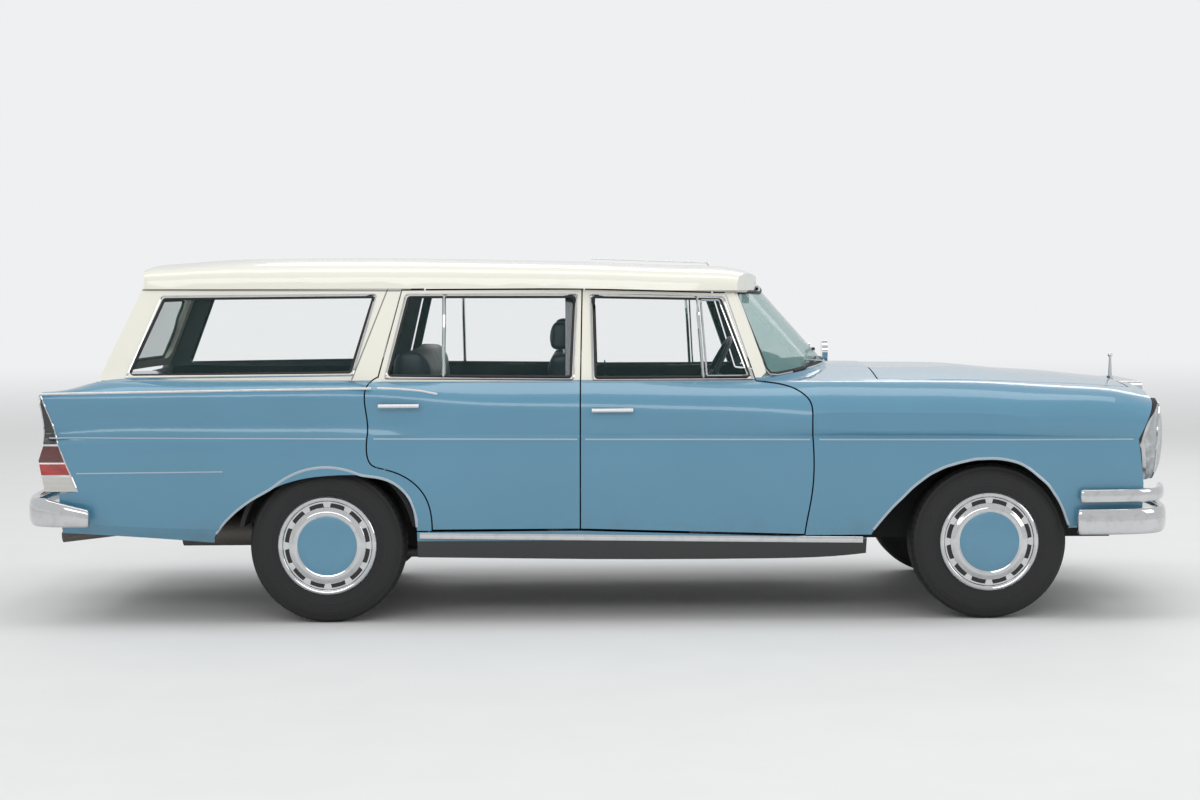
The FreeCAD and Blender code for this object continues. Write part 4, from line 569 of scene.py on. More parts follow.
def lamp_lens(name):
    """Tail lamp: clear at the foot, two reds above, then the fin's dark end with bright edges."""
    paint = Paint(name, Coat_Weight=1.0, Coat_Roughness=0.02, IOR=1.5)
    red = paint.colours.red
    level, weave = paint.bands("Z", 60.0), paint.bands("Y", 60.0)
    tone = paint.tones(red, 0.55, 1.25, level * 0.5 + weave * 0.5)
    tone = paint.colour(tone, shade(red, 0.22), paint.z.rise(0.676, 0.680))
    white = paint.colour((0.45, 0.44, 0.42), (0.72, 0.71, 0.68), level)
    tone = paint.colour(tone, white, 1 - paint.z.rise(0.620, 0.624))
    dark_end = paint.z.rise(0.748, 0.752)
    tone = paint.colour(tone, (0.010, 0.010, 0.011), dark_end)
    edge = (paint.x + 2.318 + (paint.z - 0.96) * -0.05).near(0.0, 0.008, 0.003) * dark_end
    bright = paint.z.near(0.622, 0.004, 0.002) + paint.z.near(0.676, 0.002, 0.002)
    bright = (bright + paint.z.near(0.751, 0.003, 0.002) + edge).least(1.0)
    paint.feed(Base_Color=paint.colour(tone, (0.62, 0.63, 0.64), bright), Metallic=bright,
               Roughness=0.12 + level * 0.08, Normal=paint.bump(level + weave, 0.4, 0.002))
    return paint.material


def lamp_bowl(name):
    """Headlamp body: silvered reflector inside, dark shell behind."""
    paint = Paint(name)
    front = paint.facing("X").rise(-0.3, 0.0)
    ridge = paint.bands("Z", 5.0)
    paint.feed(Base_Color=paint.colour((0.04, 0.04, 0.045), (0.66, 0.67, 0.68), front),
               Metallic=front * 0.9, Roughness=0.16 + ridge * 0.10, Normal=paint.bump(ridge, 0.2, 0.004))
    return paint.material


def cast_iron(name, dark=(0.035, 0.037, 0.04), pale=(0.10, 0.10, 0.10), metal=0.4):
    """Rough metal with rust in patches."""
    paint = Paint(name, Metallic=metal)
    grain = paint.noise(160.0, 6.0, 0.7)
    rust = paint.noise(11.0, 6.0, 0.7).rise(0.5, 0.8)
    paint.feed(Base_Color=paint.colour(paint.colour(dark, pale, grain), (0.10, 0.055, 0.03), rust * 0.35),
               Roughness=0.5 + grain * 0.2 + rust * 0.1, Normal=paint.bump(grain, 0.35, 0.0015))
    return paint.material


def plate_enamel(name):
    paint = Paint(name, Coat_Weight=0.5)
    paint.feed(Base_Color=paint.colour((0.68, 0.68, 0.65), (0.76, 0.76, 0.73), paint.noise(12.0)),
               Roughness=0.35 + paint.noise(60.0) * 0.1)
    return paint.material


def studio_floor(name):
    """Pale floor that fades into the even backdrop far from the car."""
    paint = Paint(name, Specular_IOR_Level=0.2)
    speck = paint.noise(3.0, 3.0)
    paint.feed(Base_Color=paint.tones(paint.colours.floor, 0.97, 1.02, speck), Roughness=0.6 + speck * 0.15)
    far = ((paint.x * paint.x + paint.y * paint.y) ** 0.5).rise(5.0, 30.0)
    glow = paint.node("ShaderNodeEmission", values={"Color": (*FAR_GLOW, 1), "Strength": 1.0})
    mixed = paint.node("ShaderNodeMixShader", values={0: far, 2: glow})
    paint.tree.links.new(paint.shader.outputs[0], mixed.socket.node.inputs[1])
    paint.tree.links.new(mixed.socket, paint.tree.nodes["Material Output"].inputs["Surface"])
    return paint.material


def start():
    """Object mode with nothing selected."""
    if bpy.context.object and bpy.context.object.mode != "OBJECT":
        bpy.ops.object.mode_set(mode="OBJECT")
    bpy.ops.object.select_all(action="DESELECT")


def hold(piece):
    """Selects one piece alone and makes it active."""
    start()
    piece.select_set(True)
    bpy.context.view_layer.objects.active = piece


def edit(piece):
    """Edit mode on a piece, with everything in it selected."""
    hold(piece)
    bpy.ops.object.mode_set(mode="EDIT")
    bpy.ops.mesh.select_all(action="SELECT")


def baked():
    """Puts the active object's place, turn and size into its mesh."""
    bpy.ops.object.transform_apply(location=True, rotation=True, scale=True)
    return bpy.context.object


def settle(piece, name, body, paint):
    """Names a finished piece, puts its place in its mesh and lets it ride on a body."""
    hold(piece)
    baked()
    piece.name = name
    piece.data.name = name
    piece.data.materials.clear()
    piece.data.materials.append(paint)
    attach(piece, body)


def even_normals(piece):
    edit(piece)
    bpy.ops.mesh.remove_doubles(threshold=0.00002)
    bpy.ops.mesh.normals_make_consistent(inside=False)
    bpy.ops.object.mode_set(mode="OBJECT")


def soft_shaded(piece, angle):
    hold(piece)
    bpy.ops.object.shade_smooth_by_angle(angle=math.radians(angle))


def finish_modifier(piece, kind, **settings):
    """Adds a modifier, sets it and applies it."""
    hold(piece)
    bpy.ops.object.modifier_add(type=kind)
    modifier = piece.modifiers[-1]
    for key, value in settings.items():
        setattr(modifier, key, value)
    bpy.ops.object.modifier_apply(modifier=modifier.name)


def joined(pieces):
    start()
    for piece in pieces:
        piece.select_set(True)
    bpy.context.view_layer.objects.active = pieces[0]
    if len(pieces) > 1:
        bpy.ops.object.join()
    return bpy.context.object


def ringed(radius, steps, place, turn, moves, angle):
    """A round piece extruded ring by ring; each move is a shift and a resize."""
    start()
    bpy.ops.mesh.primitive_circle_add(vertices=steps, radius=radius, location=place, rotation=turn,
                                      fill_type="NOTHING")
    piece = baked()
    edit(piece)
    for shift, growth in moves:
        bpy.ops.mesh.extrude_region_move(TRANSFORM_OT_translate={"value": shift})
        bpy.ops.transform.resize(value=growth)
    bpy.ops.mesh.select_all(action="SELECT")
    bpy.ops.mesh.fill_holes(sides=0)
    even_normals(piece)
    soft_shaded(piece, angle)
    return piece


def turned(centre, profile, out, steps=72):
    """A round piece about an axle across the car, from its profile: radius, distance outwards."""
    x, y, z = centre
    first, depth = profile[0]
    moves = [((0, out * (high - low), 0), (far / near, 1, far / near))
             for (near, low), (far, high) in zip(profile, profile[1:])]
    return ringed(first, steps, (x, y + out * depth, z), (math.pi / 2, 0, 0), moves, 35)


def skin(*names):
    """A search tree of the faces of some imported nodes."""
    points, faces = [], []
    for name in names:
        mesh = nodes[name].data
        first = len(points)
        points.extend(v.co.copy() for v in mesh.vertices)
        faces.extend([first + i for i in p.vertices] for p in mesh.polygons)
    return BVHTree.FromPolygons(points, faces)


def side_hit(tree, x, z, side):
    """The first point that a ray from beside the car meets, or None."""
    return tree.ray_cast(Vector((x, side * BESIDE, z)), Vector((0, -side, 0)))[0]


def on_side(tree, x, z, side, lift=0.0):
    """The body's outermost point at a place seen from the side."""
    hit = side_hit(tree, x, z, side)
    if hit is None or hit.y * side < 0.3:
        hit = tree.find_nearest(Vector((x, side * 0.9, z)))[0]
    return Vector((x, hit.y + side * lift, z))


def spread(points, step, closed=False):
    """The same line with more points on its long runs."""
    ends = points[1:] + points[:1] if closed else points[1:]
    line = []
    for first, second in zip(points, ends):
        first, second = Vector(first), Vector(second)
        count = max(1, round((second - first).length / step))
        line.extend(first.lerp(second, i / count) for i in range(count))
    if not closed:
        line.append(Vector(points[-1]))
    return line


def cornered(points, near):
    """A closed outline with a point either side of each corner, so that its spline turns there only."""
    line = []
    for before, here, after in zip(points[-1:] + points[:-1], points, points[1:] + points[:1]):
        line.append(here + (before - here).normalized() * near)
        line.append(here)
        line.append(here + (after - here).normalized() * near)
    return line


def grown(outline, by):
    """A window's outline with each side moved outwards."""
    middle_x, middle_z = (sum(place[i] for place in outline) / len(outline) for i in (0, 1))
    return [(x + by * math.copysign(1, x - middle_x), z + by * math.copysign(1, z - middle_z))
            for x, z in outline]


def moulding(points, half, tall=0.0, closed=False):
    """A bright or rubber strip along a line: round, or a band with rounded edges when tall is given."""
    start()
    bpy.ops.curve.primitive_nurbs_path_add()
    line = bpy.context.object.data
    line.splines.clear()
    run = line.splines.new("NURBS")
    run.points.add(len(points) - 1)
    for knot, point in zip(run.points, points):
        knot.co = (*point, 1)
    run.order_u = 3
    run.use_cyclic_u = closed
    run.use_endpoint_u = not closed
    line.dimensions = "3D"
    line.twist_mode = "Z_UP"
    line.resolution_u = 2
    line.bevel_depth = half
    line.bevel_resolution = 1
    line.extrude = tall
    line.use_fill_caps = not closed
    bpy.ops.object.convert(target="MESH")
    piece = bpy.context.object
    even_normals(piece)
    soft_shaded(piece, 50)
    return piece


def side_line(tree, places, side, lift, step=0.08, corner=None):
    """A line on the body through places (x, z) seen from the side; with a corner size it is a closed ring."""
    flat = [Vector((x, 0, z)) for x, z in places]
    if corner:
        flat = cornered(flat, corner)
    return [on_side(tree, p.x, p.z, side, lift) for p in spread(flat, step, closed=bool(corner))]


def block(low, high):
    """A box from corner to corner, to be shaped further."""
    start()
    low, high = Vector(low), Vector(high)
    bpy.ops.mesh.primitive_cube_add(size=1, location=(low + high) / 2)
    bpy.context.object.scale = high - low
    return baked()


def eased(piece, width, segments=2):
    """Rounded edges all over."""
    edit(piece)
    bpy.ops.mesh.bevel(offset=width, segments=segments, affect="EDGES")
    bpy.ops.object.mode_set(mode="OBJECT")
    soft_shaded(piece, 40)
    return piece


def rounded_path(points, step):
    """A plan line through the points, eased at its corners."""
    line = [Vector((x, y, 0)) for x, y in points]
    for _ in range(3):
        finer = [line[0]]
        for first, second in zip(line, line[1:]):
            finer.append(first.lerp(second, 0.25))
            finer.append(first.lerp(second, 0.75))
        line = finer + [line[-1]]
    return spread(line, step)


def squarish(value):
    """A sine or cosine drawn towards a square wave."""
    return math.copysign(abs(value) ** 0.8, value)


def swept(points, level, tall, thick, end_share):
    """A rounded blade with its outer face on a plan line.

    Towards the sides of the car its height shrinks to end_share, from the top. It closes at both ends,
    or at its last point only where the line doesn't cross the car.
    """
    path = rounded_path(points, BLADE_STEP)
    last = len(path) - 1
    reach = max(abs(p.y) for p in path)
    crosses = points[0][1] * points[-1][1] < 0
    start()
    bpy.ops.mesh.primitive_grid_add(x_subdivisions=last, y_subdivisions=BLADE_SIDES, size=1)
    piece = bpy.context.object
    for vertex in piece.data.vertices:
        index = round(min(max(vertex.co.x + 0.5, 0.0), 1.0) * last)
        here = path[index]
        along = (path[min(index + 1, last)] - path[max(index - 1, 0)]).normalized()
        out = Vector((along.y, -along.x, 0))
        if out.dot(here) < 0:
            out = -out
        from_end = min(index, last - index) if crosses else last - index
        close = 1.0 if from_end > 2 else BLADE_CLOSING[from_end]
        drop = 1.0
        if abs(here.y) > 0.5 * reach:
            run = min((path[0] - here).length, (path[-1] - here).length)
            drop = end_share + (1 - end_share) * min(run / BLADE_TAPER, 1.0)
        turn = (vertex.co.y + 0.5) * math.tau
        rise = squarish(math.sin(turn)) * tall * close
        swell = squarish(math.cos(turn)) * thick * close
        vertex.co = here - out * (thick - swell) + Vector((0, 0, level - tall + (rise + tall) * drop))
    edit(piece)
    bpy.ops.mesh.remove_doubles(threshold=0.0002)
    bpy.ops.mesh.select_all(action="DESELECT")
    bpy.ops.mesh.select_non_manifold(extend=False)
    bpy.ops.mesh.edge_face_add()
    bpy.ops.mesh.select_all(action="SELECT")
    bpy.ops.mesh.fill_holes(sides=0)
    bpy.ops.mesh.normals_make_consistent(inside=False)
    bpy.ops.object.mode_set(mode="OBJECT")
    soft_shaded(piece, 50)
    return piece


def dress(name, paint):
    """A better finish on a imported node's own slots."""
    slots = nodes[name].data.materials
    if not slots:
        raise RuntimeError(f"{name} has no material slot")
    for i in range(len(slots)):
        slots[i] = paint


class WAGON_OT_body(bpy.types.Operator):
    """Paint the panels, doors, roof and floor."""

    bl_idname = "wagon.body"
    bl_label = "Body finishes"

    def execute(self, context):
        panel = body_paint("panel_paint")
        lid = lid_paint("lid_paint")
        roof = context.scene.wagon_colours.roof
        gate = enamel("gate_frame_paint", roof, 0.96, 1.0, (1.7, 2.0), 0.32, speckle=30.0, coat=0.05)
        for name, paint in (("front_fenders", panel), ("rear_quarters", panel), ("tailgate_lower", panel),
                            ("bonnet", lid), ("cowl", lid), ("tailgate_upper", gate),
                            ("side_frame", body_paint("sill_paint", "sill")),
                            ("roof", roof_paint("roof_paint")),
                            ("floor_pan", floor_and_load_bay("floor_finish"))):
            dress(name, paint)
        for side_name, _ in SIDES:
            for door in ("front_door", "rear_door"):
                name = f"{door}_{side_name}"
                dress(name, body_paint(f"{name}_paint", "door"))
        return {"FINISHED"}


class WAGON_OT_metal(bpy.types.Operator):
    """Chrome blades, and the finishes of grille, axles, engine, tank and exhaust."""

    bl_idname = "wagon.metal"
    bl_label = "Metal finishes"

    def execute(self, context):
        bright = chrome("bright_chrome")
        for name in ("grille", "chrome_fittings"):
            dress(name, bright)
        for name, blades in BUMPERS:
            dress(name, bright)
            pieces = []
            for plan, *section in blades:
                other = [(x, -y) for x, y in plan]
                if plan[0][1] == 0.0:
                    pieces.append(swept(other[:0:-1] + list(plan), *section))
                else:
                    pieces.append(swept(plan, *section))
                    pieces.append(swept(other, *section))
            settle(joined(pieces), f"{name}_chrome", "body", bright)
            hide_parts(name)
        iron = cast_iron("axle_iron")
        for name in ("rear_axle", "front_axle_beam", "knuckle_left", "knuckle_right"):
            dress(name, iron)
        dress("engine", cast_iron("engine_paint", (0.03, 0.03, 0.032), (0.09, 0.09, 0.092), 0.2))
        dress("exhaust", cast_iron("exhaust_steel", (0.10, 0.095, 0.09), (0.22, 0.20, 0.18), 0.7))
        dress("fuel_tank", sealed_underside("tank_finish"))
        return {"FINISHED"}


class WAGON_OT_glazing(bpy.types.Operator):
    """Window glass and its seals, bright surrounds and divider bars."""

    bl_idname = "wagon.glazing"
    bl_label = "Glass and window trim"

    def execute(self, context):
        sizes = context.scene.wagon_sizes
        pane = glass("window_glass", context.scene.wagon_colours.glass, 0.010, 0.45, 0.006, 0.02)
        for name in nodes:
            if name in ("fixed_glass", "tailgate_glass") or "door_glass" in name:
                dress(name, pane)
        bright = chrome("trim_chrome")
        black = rubber("seal_rubber")
        for side_name, side in SIDES:
            for part, outline, *names in WINDOWS:
                body, around, glazed = (name.format(side_name) for name in names)
                line = side_line(skin(around), grown(outline, 0.006), side, 0.0005, corner=0.016)
                settle(moulding(line, sizes.bead, closed=True), f"{part}_window_trim_{side_name}", body,
                       bright)
                line = side_line(skin(glazed), grown(outline, -0.004), side, 0.001, corner=0.02)
                settle(moulding(line, sizes.rubber, closed=True), f"{part}_window_seal_{side_name}", body,
                       black)
            self.bars(side_name, side, bright)
        self.windscreen(bright, black, sizes)
        self.tailgate(black, sizes)
        return {"FINISHED"}

    def bars(self, side_name, side, bright):
        """The rear door's divider, and the front door's with the frame of its vent window."""
        tree = skin(f"rear_door_glass_{side_name}")
        bar = moulding(side_line(tree, REAR_DIVIDER, side, 0.003), 0.0078)
        settle(bar, f"rear_door_divider_{side_name}", f"rear_door_{side_name}", bright)
        tree = skin(f"front_door_glass_{side_name}")
        bar = moulding(side_line(tree, VENT_DIVIDER, side, 0.003), 0.0068)
        ring = moulding(side_line(tree, VENT_WINDOW, side, 0.003, corner=0.012), 0.0045, closed=True)
        settle(joined([bar, ring]), f"vent_window_frame_{side_name}", f"front_door_{side_name}",
               bright)

    def windscreen(self, bright, black, sizes):
        """Trim and seal on the screen's edge, worked out for one half: foot, side and head."""
        tree = skin("fixed_glass")
        half = [Vector((1.022 - 0.300 * share ** 2.3, 0.740 * share, 1.045 - 0.040 * share ** 2))
                for share in shares(8)]
        half += [Vector((0.722 - 0.132 * share, 0.740 - 0.148 * share, 1.005 + 0.366 * share))
                 for share in shares(5)[1:-1]]
        half += [Vector((0.690 - 0.100 * share ** 2.2, 0.592 * share, 1.424 - 0.048 * share ** 2))
                 for share in reversed(shares(8))]
        loop = half + [Vector((p.x, -p.y, p.z)) for p in reversed(half[1:-1])]
        lift = Vector((1, 0, 0.9)).normalized() * 0.004
        laid = [tree.find_nearest(point)[0] + lift for point in loop]
        settle(moulding(laid, sizes.bead, closed=True), "windscreen_trim", "body", bright)
        middle, back = Vector((0.86, 0, 1.22)), Vector((0.002, 0, 0))
        inner = [p + (middle - p).normalized() * 0.012 - back for p in laid]
        seal = moulding([tree.find_nearest(p)[0] for p in inner], sizes.rubber * 1.3, closed=True)
        settle(seal, "windscreen_seal", "body", black)

    def tailgate(self, black, sizes):
        """The seal of the rear window, just inside the pane's edge."""
        low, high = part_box("tailgate_glass")
        tree = skin("tailgate_glass")
        top, foot = high.z - 0.006, low.z + 0.006
        half_top, half_foot = high.y - 0.075, high.y - 0.008
        outline = [Vector((0, half_top, top)), Vector((0, half_foot, foot)),
                   Vector((0, -half_foot, foot)), Vector((0, -half_top, top))]
        line = []
        for point in spread(cornered(outline, 0.03), 0.1, closed=True):
            hit = tree.ray_cast(Vector((-3.0, point.y, point.z)), Vector((1, 0, 0)))[0]
            if hit is None:
                hit = tree.find_nearest(Vector((low.x, point.y, point.z)))[0]
            line.append(hit - Vector((0.001, 0, 0)))
        settle(moulding(line, sizes.rubber, closed=True), "tailgate_seal", "upper_tailgate",
               black)


class WAGON_OT_brightwork(bpy.types.Operator):
    """Bright strips on the sides, tail lamp edges, and the panels' pressed lines with a painted highlight."""

    bl_idname = "wagon.brightwork"
    bl_label = "Side brightwork"

    def execute(self, context):
        sizes = context.scene.wagon_sizes
        bright = chrome("side_chrome")
        # The pressed lines and arch lips get a blue paler than the body: a painted highlight.
        pale = tuple(0.5 * part + 0.36 for part in context.scene.wagon_colours.body)
        pressed = enamel("pressed_edge_highlight_paint", pale, 0.92, 1.04, (2.2, 2.0), 0.28)
        for side_name, side in SIDES:
            for piece, body, under, lines in STRIPS:
                tree = skin(*(node.format(side_name) for node in under))
                laid = [moulding(side_line(tree, places, side, lift, step), half, tall)
                        for places, lift, step, half, tall in lines]
                settle(joined(laid), piece.format(side_name), body.format(side_name), bright)
            tree = skin("side_frame", "rear_quarters", "front_fenders")
            sill = moulding(side_line(tree, SILL_LINE, side, 0.0005), 0.0035, sizes.sill_strip)
            settle(sill, f"sill_strip_{side_name}", "body", bright)
            self.creases(side_name, side, pressed)
            self.lamp_frame(side_name, side, bright)
        return {"FINISHED"}

    def creases(self, side_name, side, pressed):
        """Pressed lines along the side and rolled arch lips, in a paler blue: a painted highlight."""
        for piece, node, body, first, last, axle in CREASES:
            tree = skin(node.format(side_name))
            places = [(x, 0.764 - 0.0075 * x) for x in (first, (first + last) / 2, last)]
            pieces = [moulding(side_line(tree, places, side, -0.001), 0.0034)]
            if axle == REAR_AXLE:
                pieces.append(moulding(side_line(tree, LOWER_CREASE, side, -0.001), 0.0028))
            if axle:
                pieces.append(moulding(self.arch(tree, axle, side), 0.0065))
            settle(joined(pieces), piece.format(side_name), body.format(side_name), pressed)

    def arch(self, tree, axle, side):
        """The edge of a wheel arch, found outwards from the wheel's middle."""
        line = []
        for i in range(37):
            angle = math.radians(-4 + i * 188 / 36)
            for step in range(90):
                reach = 0.33 + step * 0.004
                x, z = axle + reach * math.cos(angle), TYRE_RADIUS + reach * math.sin(angle)
                hit = side_hit(tree, x, z, side)
                if hit is not None and hit.y * side > 0.80:
                    line.append(Vector((x, hit.y - side * 0.003, z)))
                    break
        return line

    def lamp_frame(self, side_name, side, bright):
        """Bright edges of the tail lamp and of the dark end of the fin above it."""
        lamp, panel = skin("tail_lamps"), skin("rear_quarters")
        front, rear = [], []
        for share in shares(14):
            z = 0.574 + 0.380 * share
            seen = []
            for step in range(110):
                x = -2.335 + step * 0.002
                hit, other = side_hit(lamp, x, z, side), side_hit(panel, x, z, side)
                if hit is not None and (other is None or hit.y * side > other.y * side):
                    seen.append(hit)
            if seen:
                front.append(seen[-1] + Vector((0, side * 0.0005, 0)))
                if z > 0.75:
                    rear.append(seen[0] + Vector((0.001, 0, 0)))
        rails = [moulding(front, 0.0035), moulding(rear, 0.0030)]
        settle(joined(rails), f"tail_lamp_frame_{side_name}", "body", bright)


class WAGON_OT_wheels(bpy.types.Operator):
    """Tyre rubber and the slotted wheel covers with their plain painted discs."""

    bl_idname = "wagon.wheels"
    bl_label = "Wheels"

    def execute(self, context):
        body_colour = context.scene.wagon_colours.body
        finishes = (chrome("wheel_chrome_finish"), enamel("disc_paint", body_colour, 0.9, 1.05, (9.0,), 0.30),
                    rubber("slot_shadow"))
        for axle, x in (("front", FRONT_AXLE), ("rear", REAR_AXLE)):
            tyre = tyre_rubber(f"tyre_rubber_{axle}", x)
            steel = wheel_paint(f"wheel_steel_{axle}", x)
            for side_name, side in SIDES:
                corner = f"{axle}_{side_name}"
                dress(f"tyre_{corner}", tyre)
                dress(f"wheel_{corner}", steel)
                low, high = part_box(f"wheel_{corner}")
                middle = Vector((x, high.y if side > 0 else low.y, TYRE_RADIUS))
                body = f"{axle}_wheel_{side_name}"
                self.cover(corner, body, middle, side, finishes, context.scene.wagon_sizes.cover_slots)
        return {"FINISHED"}

    def cover(self, corner, body, middle, side, finishes, count):
        """Ring, web and cap in chrome, the hub disc, and the dark slots round the web."""
        bright, blue, dark = finishes
        rings = [turned(middle, profile, side) for profile in (COVER_RING, COVER_WEB, COVER_CAP)]
        settle(joined(rings), f"wheel_cover_{corner}", body, bright)
        settle(turned(middle, HUB_DISC, side), f"hub_disc_{corner}", body, blue)
        slot = block((-0.0130, -0.002, -0.0295), (0.0065, 0.002, 0.0295))
        edit(slot)
        bpy.ops.mesh.subdivide(number_cuts=4)
        bpy.ops.object.mode_set(mode="OBJECT")
        for vertex in slot.data.vertices:
            vertex.co.x += SLOT_RADIUS - (vertex.co.z ** 2) / (2 * SLOT_RADIUS)
        eased(slot, 0.0008, 1)
        slots = []
        for i in range(count):
            hold(slot)
            bpy.ops.object.duplicate(linked=False)
            slots.append(bpy.context.object)
            bpy.ops.transform.rotate(value=math.tau * (i + 0.5) / count, orient_axis="Y",
                                     orient_type="GLOBAL", center_override=(0, 0, 0))
            bpy.ops.transform.translate(value=middle + Vector((0, side * -0.0070, 0)))
        hold(slot)
        bpy.ops.object.delete()
        settle(joined(slots), f"cover_slots_{corner}", body, dark)


class WAGON_OT_lamps(bpy.types.Operator):
    """Headlamp bowls, fluted glass, reflectors and rings, and the tail lamps."""

    bl_idname = "wagon.lamps"
    bl_label = "Lamps"

    def execute(self, context):
        dress("headlamp_bodies", lamp_bowl("lamp_bowl"))
        dress("headlamp_glass", glass("lamp_glass", (0.80, 0.83, 0.84), 0.34, 0.55, 0.03, 0.05, flutes=True))
        dress("tail_lamps", lamp_lens("tail_lens"))
        bright = chrome("lamp_ring_chrome")
        black = rubber("lamp_gasket_rubber")
        nose = skin("front_fenders", "headlamp_bodies", "headlamp_glass")
        for side_name, side in SIDES:
            outline = self.outline(side)
            middle = sum(outline, Vector()) / len(outline)
            for name, grow, half, lift, slot, paint in (
                    ("gasket", 1.010, 0.0130, -0.002, "trim_black", black),
                    ("ring", 0.955, 0.0040, 0.004, "chrome", bright)):
                line = [self.on_nose(nose, middle + (point - middle) * grow) + Vector((lift, 0, 0))
                        for point in outline]
                settle(moulding(line, half, closed=True), f"headlamp_{name}_{side_name}", "body", paint)
            self.reflectors(side_name, middle, bright)
        return {"FINISHED"}

    def outline(self, side):
        """The glass's edge seen from the front, as 28 points round it."""
        places = [v.co for v in nodes["headlamp_glass"].data.vertices if v.co.y * side > 0]
        ys, zs = [p.y for p in places], [p.z for p in places]
        middle = Vector((0, (min(ys) + max(ys)) / 2, (min(zs) + max(zs)) / 2))
        line = []
        for i in range(28):
            ray = Vector((0, math.cos(math.tau * i / 28), math.sin(math.tau * i / 28)))
            line.append(max(places, key=lambda p: (p - middle).dot(ray)).copy())
        return line

    def on_nose(self, nose, spot):
        """The point of the nose in front of a spot."""
        hit = nose.ray_cast(Vector((3.0, spot.y, spot.z)), Vector((-1, 0, 0)))[0]
        if hit is None or hit.x < 2.15:
            hit = nose.find_nearest(spot)[0]
        return hit

    def reflectors(self, side_name, middle, bright):
        """The two round reflectors behind one glass."""
        moves = [((depth, 0, 0), (1, shrink, shrink))
                 for shrink, depth in ((0.96, 0.004), (0.93, -0.004), (0.85, -0.012), (0.75, -0.012),
                                       (0.55, -0.010), (0.35, -0.003), (0.6, 0.010), (0.5, 0.006))]
        cups = [ringed(radius, 40, (2.318, middle.y, middle.z + rise), (0, math.pi / 2, 0), moves, 40)
                for rise, radius in ((0.060, 0.072), (-0.082, 0.056))]
        settle(joined(cups), f"headlamp_reflectors_{side_name}", "body", bright)


class WAGON_OT_seats(bpy.types.Operator):
    """Padded front seats with head restraints, and the rear bench."""

    bl_idname = "wagon.seats"
    bl_label = "Seats"

    def execute(self, context):
        puff = context.scene.wagon_sizes.puff
        pleated = seat_vinyl("seat_cushion_vinyl", 0.055, 0.16, 0.55)
        bench = seat_vinyl("bench_vinyl", 0.060, 0.10, 0.56)
        front = joined([self.pad(outline, side * inner, side * outer, crown, puff)
                        for _, side in SIDES for outline, inner, outer, crown in FRONT_PADS])
        settle(front, "front_seat_pads", "body", pleated)
        rods = [moulding([Vector((x, y, z)) for x, z in HEAD_ROD], 0.006) for y in (-0.30, -0.40, 0.30, 0.40)]
        settle(joined(rods), "head_restraint_rods", "body", chrome("rod_chrome"))
        feet = [eased(block((-0.03, low, 0.335), (0.36, low + 0.38, 0.400)), 0.012) for low in (-0.54, 0.16)]
        settle(joined(feet), "front_seat_frames", "body", cast_iron("seat_frame_steel"))
        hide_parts("front_seats")
        rear = joined([self.pad(*pad, puff) for pad in REAR_PADS])
        settle(rear, "rear_seat_pads", "body", bench)
        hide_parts("rear_seat")
        return {"FINISHED"}

    def pad(self, outline, one_end, other_end, crown, puff):
        """A stuffed cushion: a side-view outline carried across, remeshed, blown up, smoothed."""
        start()
        low, high = sorted((one_end, other_end))
        bpy.ops.mesh.primitive_circle_add(vertices=len(outline), radius=0.1, location=(0, 0, 0),
                                          fill_type="NGON")
        piece = bpy.context.object
        for vertex, (x, z) in zip(piece.data.vertices, outline):
            vertex.co = Vector((x, low, z))
        edit(piece)
        bpy.ops.mesh.extrude_region_move(TRANSFORM_OT_translate={"value": (0, high - low, 0)})
        bpy.ops.mesh.select_all(action="SELECT")
        bpy.ops.mesh.normals_make_consistent(inside=False)
        bpy.ops.mesh.bevel(offset=0.016, segments=3, affect="EDGES")
        bpy.ops.object.mode_set(mode="OBJECT")
        finish_modifier(piece, "REMESH", mode="VOXEL", voxel_size=0.010 if high - low < 0.3 else 0.016)
        self.stuff(piece, puff)
        self.keep_inside(piece, outline, low, high, crown)
        finish_modifier(piece, "SMOOTH", factor=0.5, iterations=3)
        finish_modifier(piece, "SUBSURF", levels=1, render_levels=1)
        hold(piece)
        bpy.ops.object.shade_smooth()
        return piece

    def stuff(self, piece, puff):
        """Blows a pad up as cloth under pressure, no part of it by more than puff."""
        rest = [v.co.copy() for v in piece.data.vertices]
        hold(piece)
        bpy.ops.object.modifier_add(type="CLOTH")
        cloth = piece.modifiers[-1]
        cloth.settings.use_pressure = True
        cloth.settings.uniform_pressure_force = 4.0
        cloth.settings.effector_weights.gravity = 0.0
        cloth.settings.quality = 4
        cloth.collision_settings.use_collision = False
        cloth.point_cache.frame_start = 1
        cloth.point_cache.frame_end = 20
        for number in range(1, 15):
            bpy.context.scene.frame_set(number)
        bpy.ops.object.modifier_apply(modifier=cloth.name)
        bpy.context.scene.frame_set(1)
        for vertex, place in zip(piece.data.vertices, rest):
            step = vertex.co - place
            if step.length > puff:
                vertex.co = place + step.normalized() * puff

    def keep_inside(self, piece, outline, low, high, crown):
        """Scales a swollen pad back to the room it has, plus its crown."""
        xs, zs = [p[0] for p in outline], [p[1] for p in outline]
        room_low = Vector((min(xs) - crown, low - crown / 2, min(zs) - crown / 2))
        room_high = Vector((max(xs) + crown, high + crown / 2, max(zs) + crown))
        now_low = Vector(min(v.co[i] for v in piece.data.vertices) for i in range(3))
        now_high = Vector(max(v.co[i] for v in piece.data.vertices) for i in range(3))
        for vertex in piece.data.vertices:
            vertex.co = Vector(room_low[i] + (vertex.co[i] - now_low[i]) * (room_high[i] - room_low[i])
                               / (now_high[i] - now_low[i]) for i in range(3))


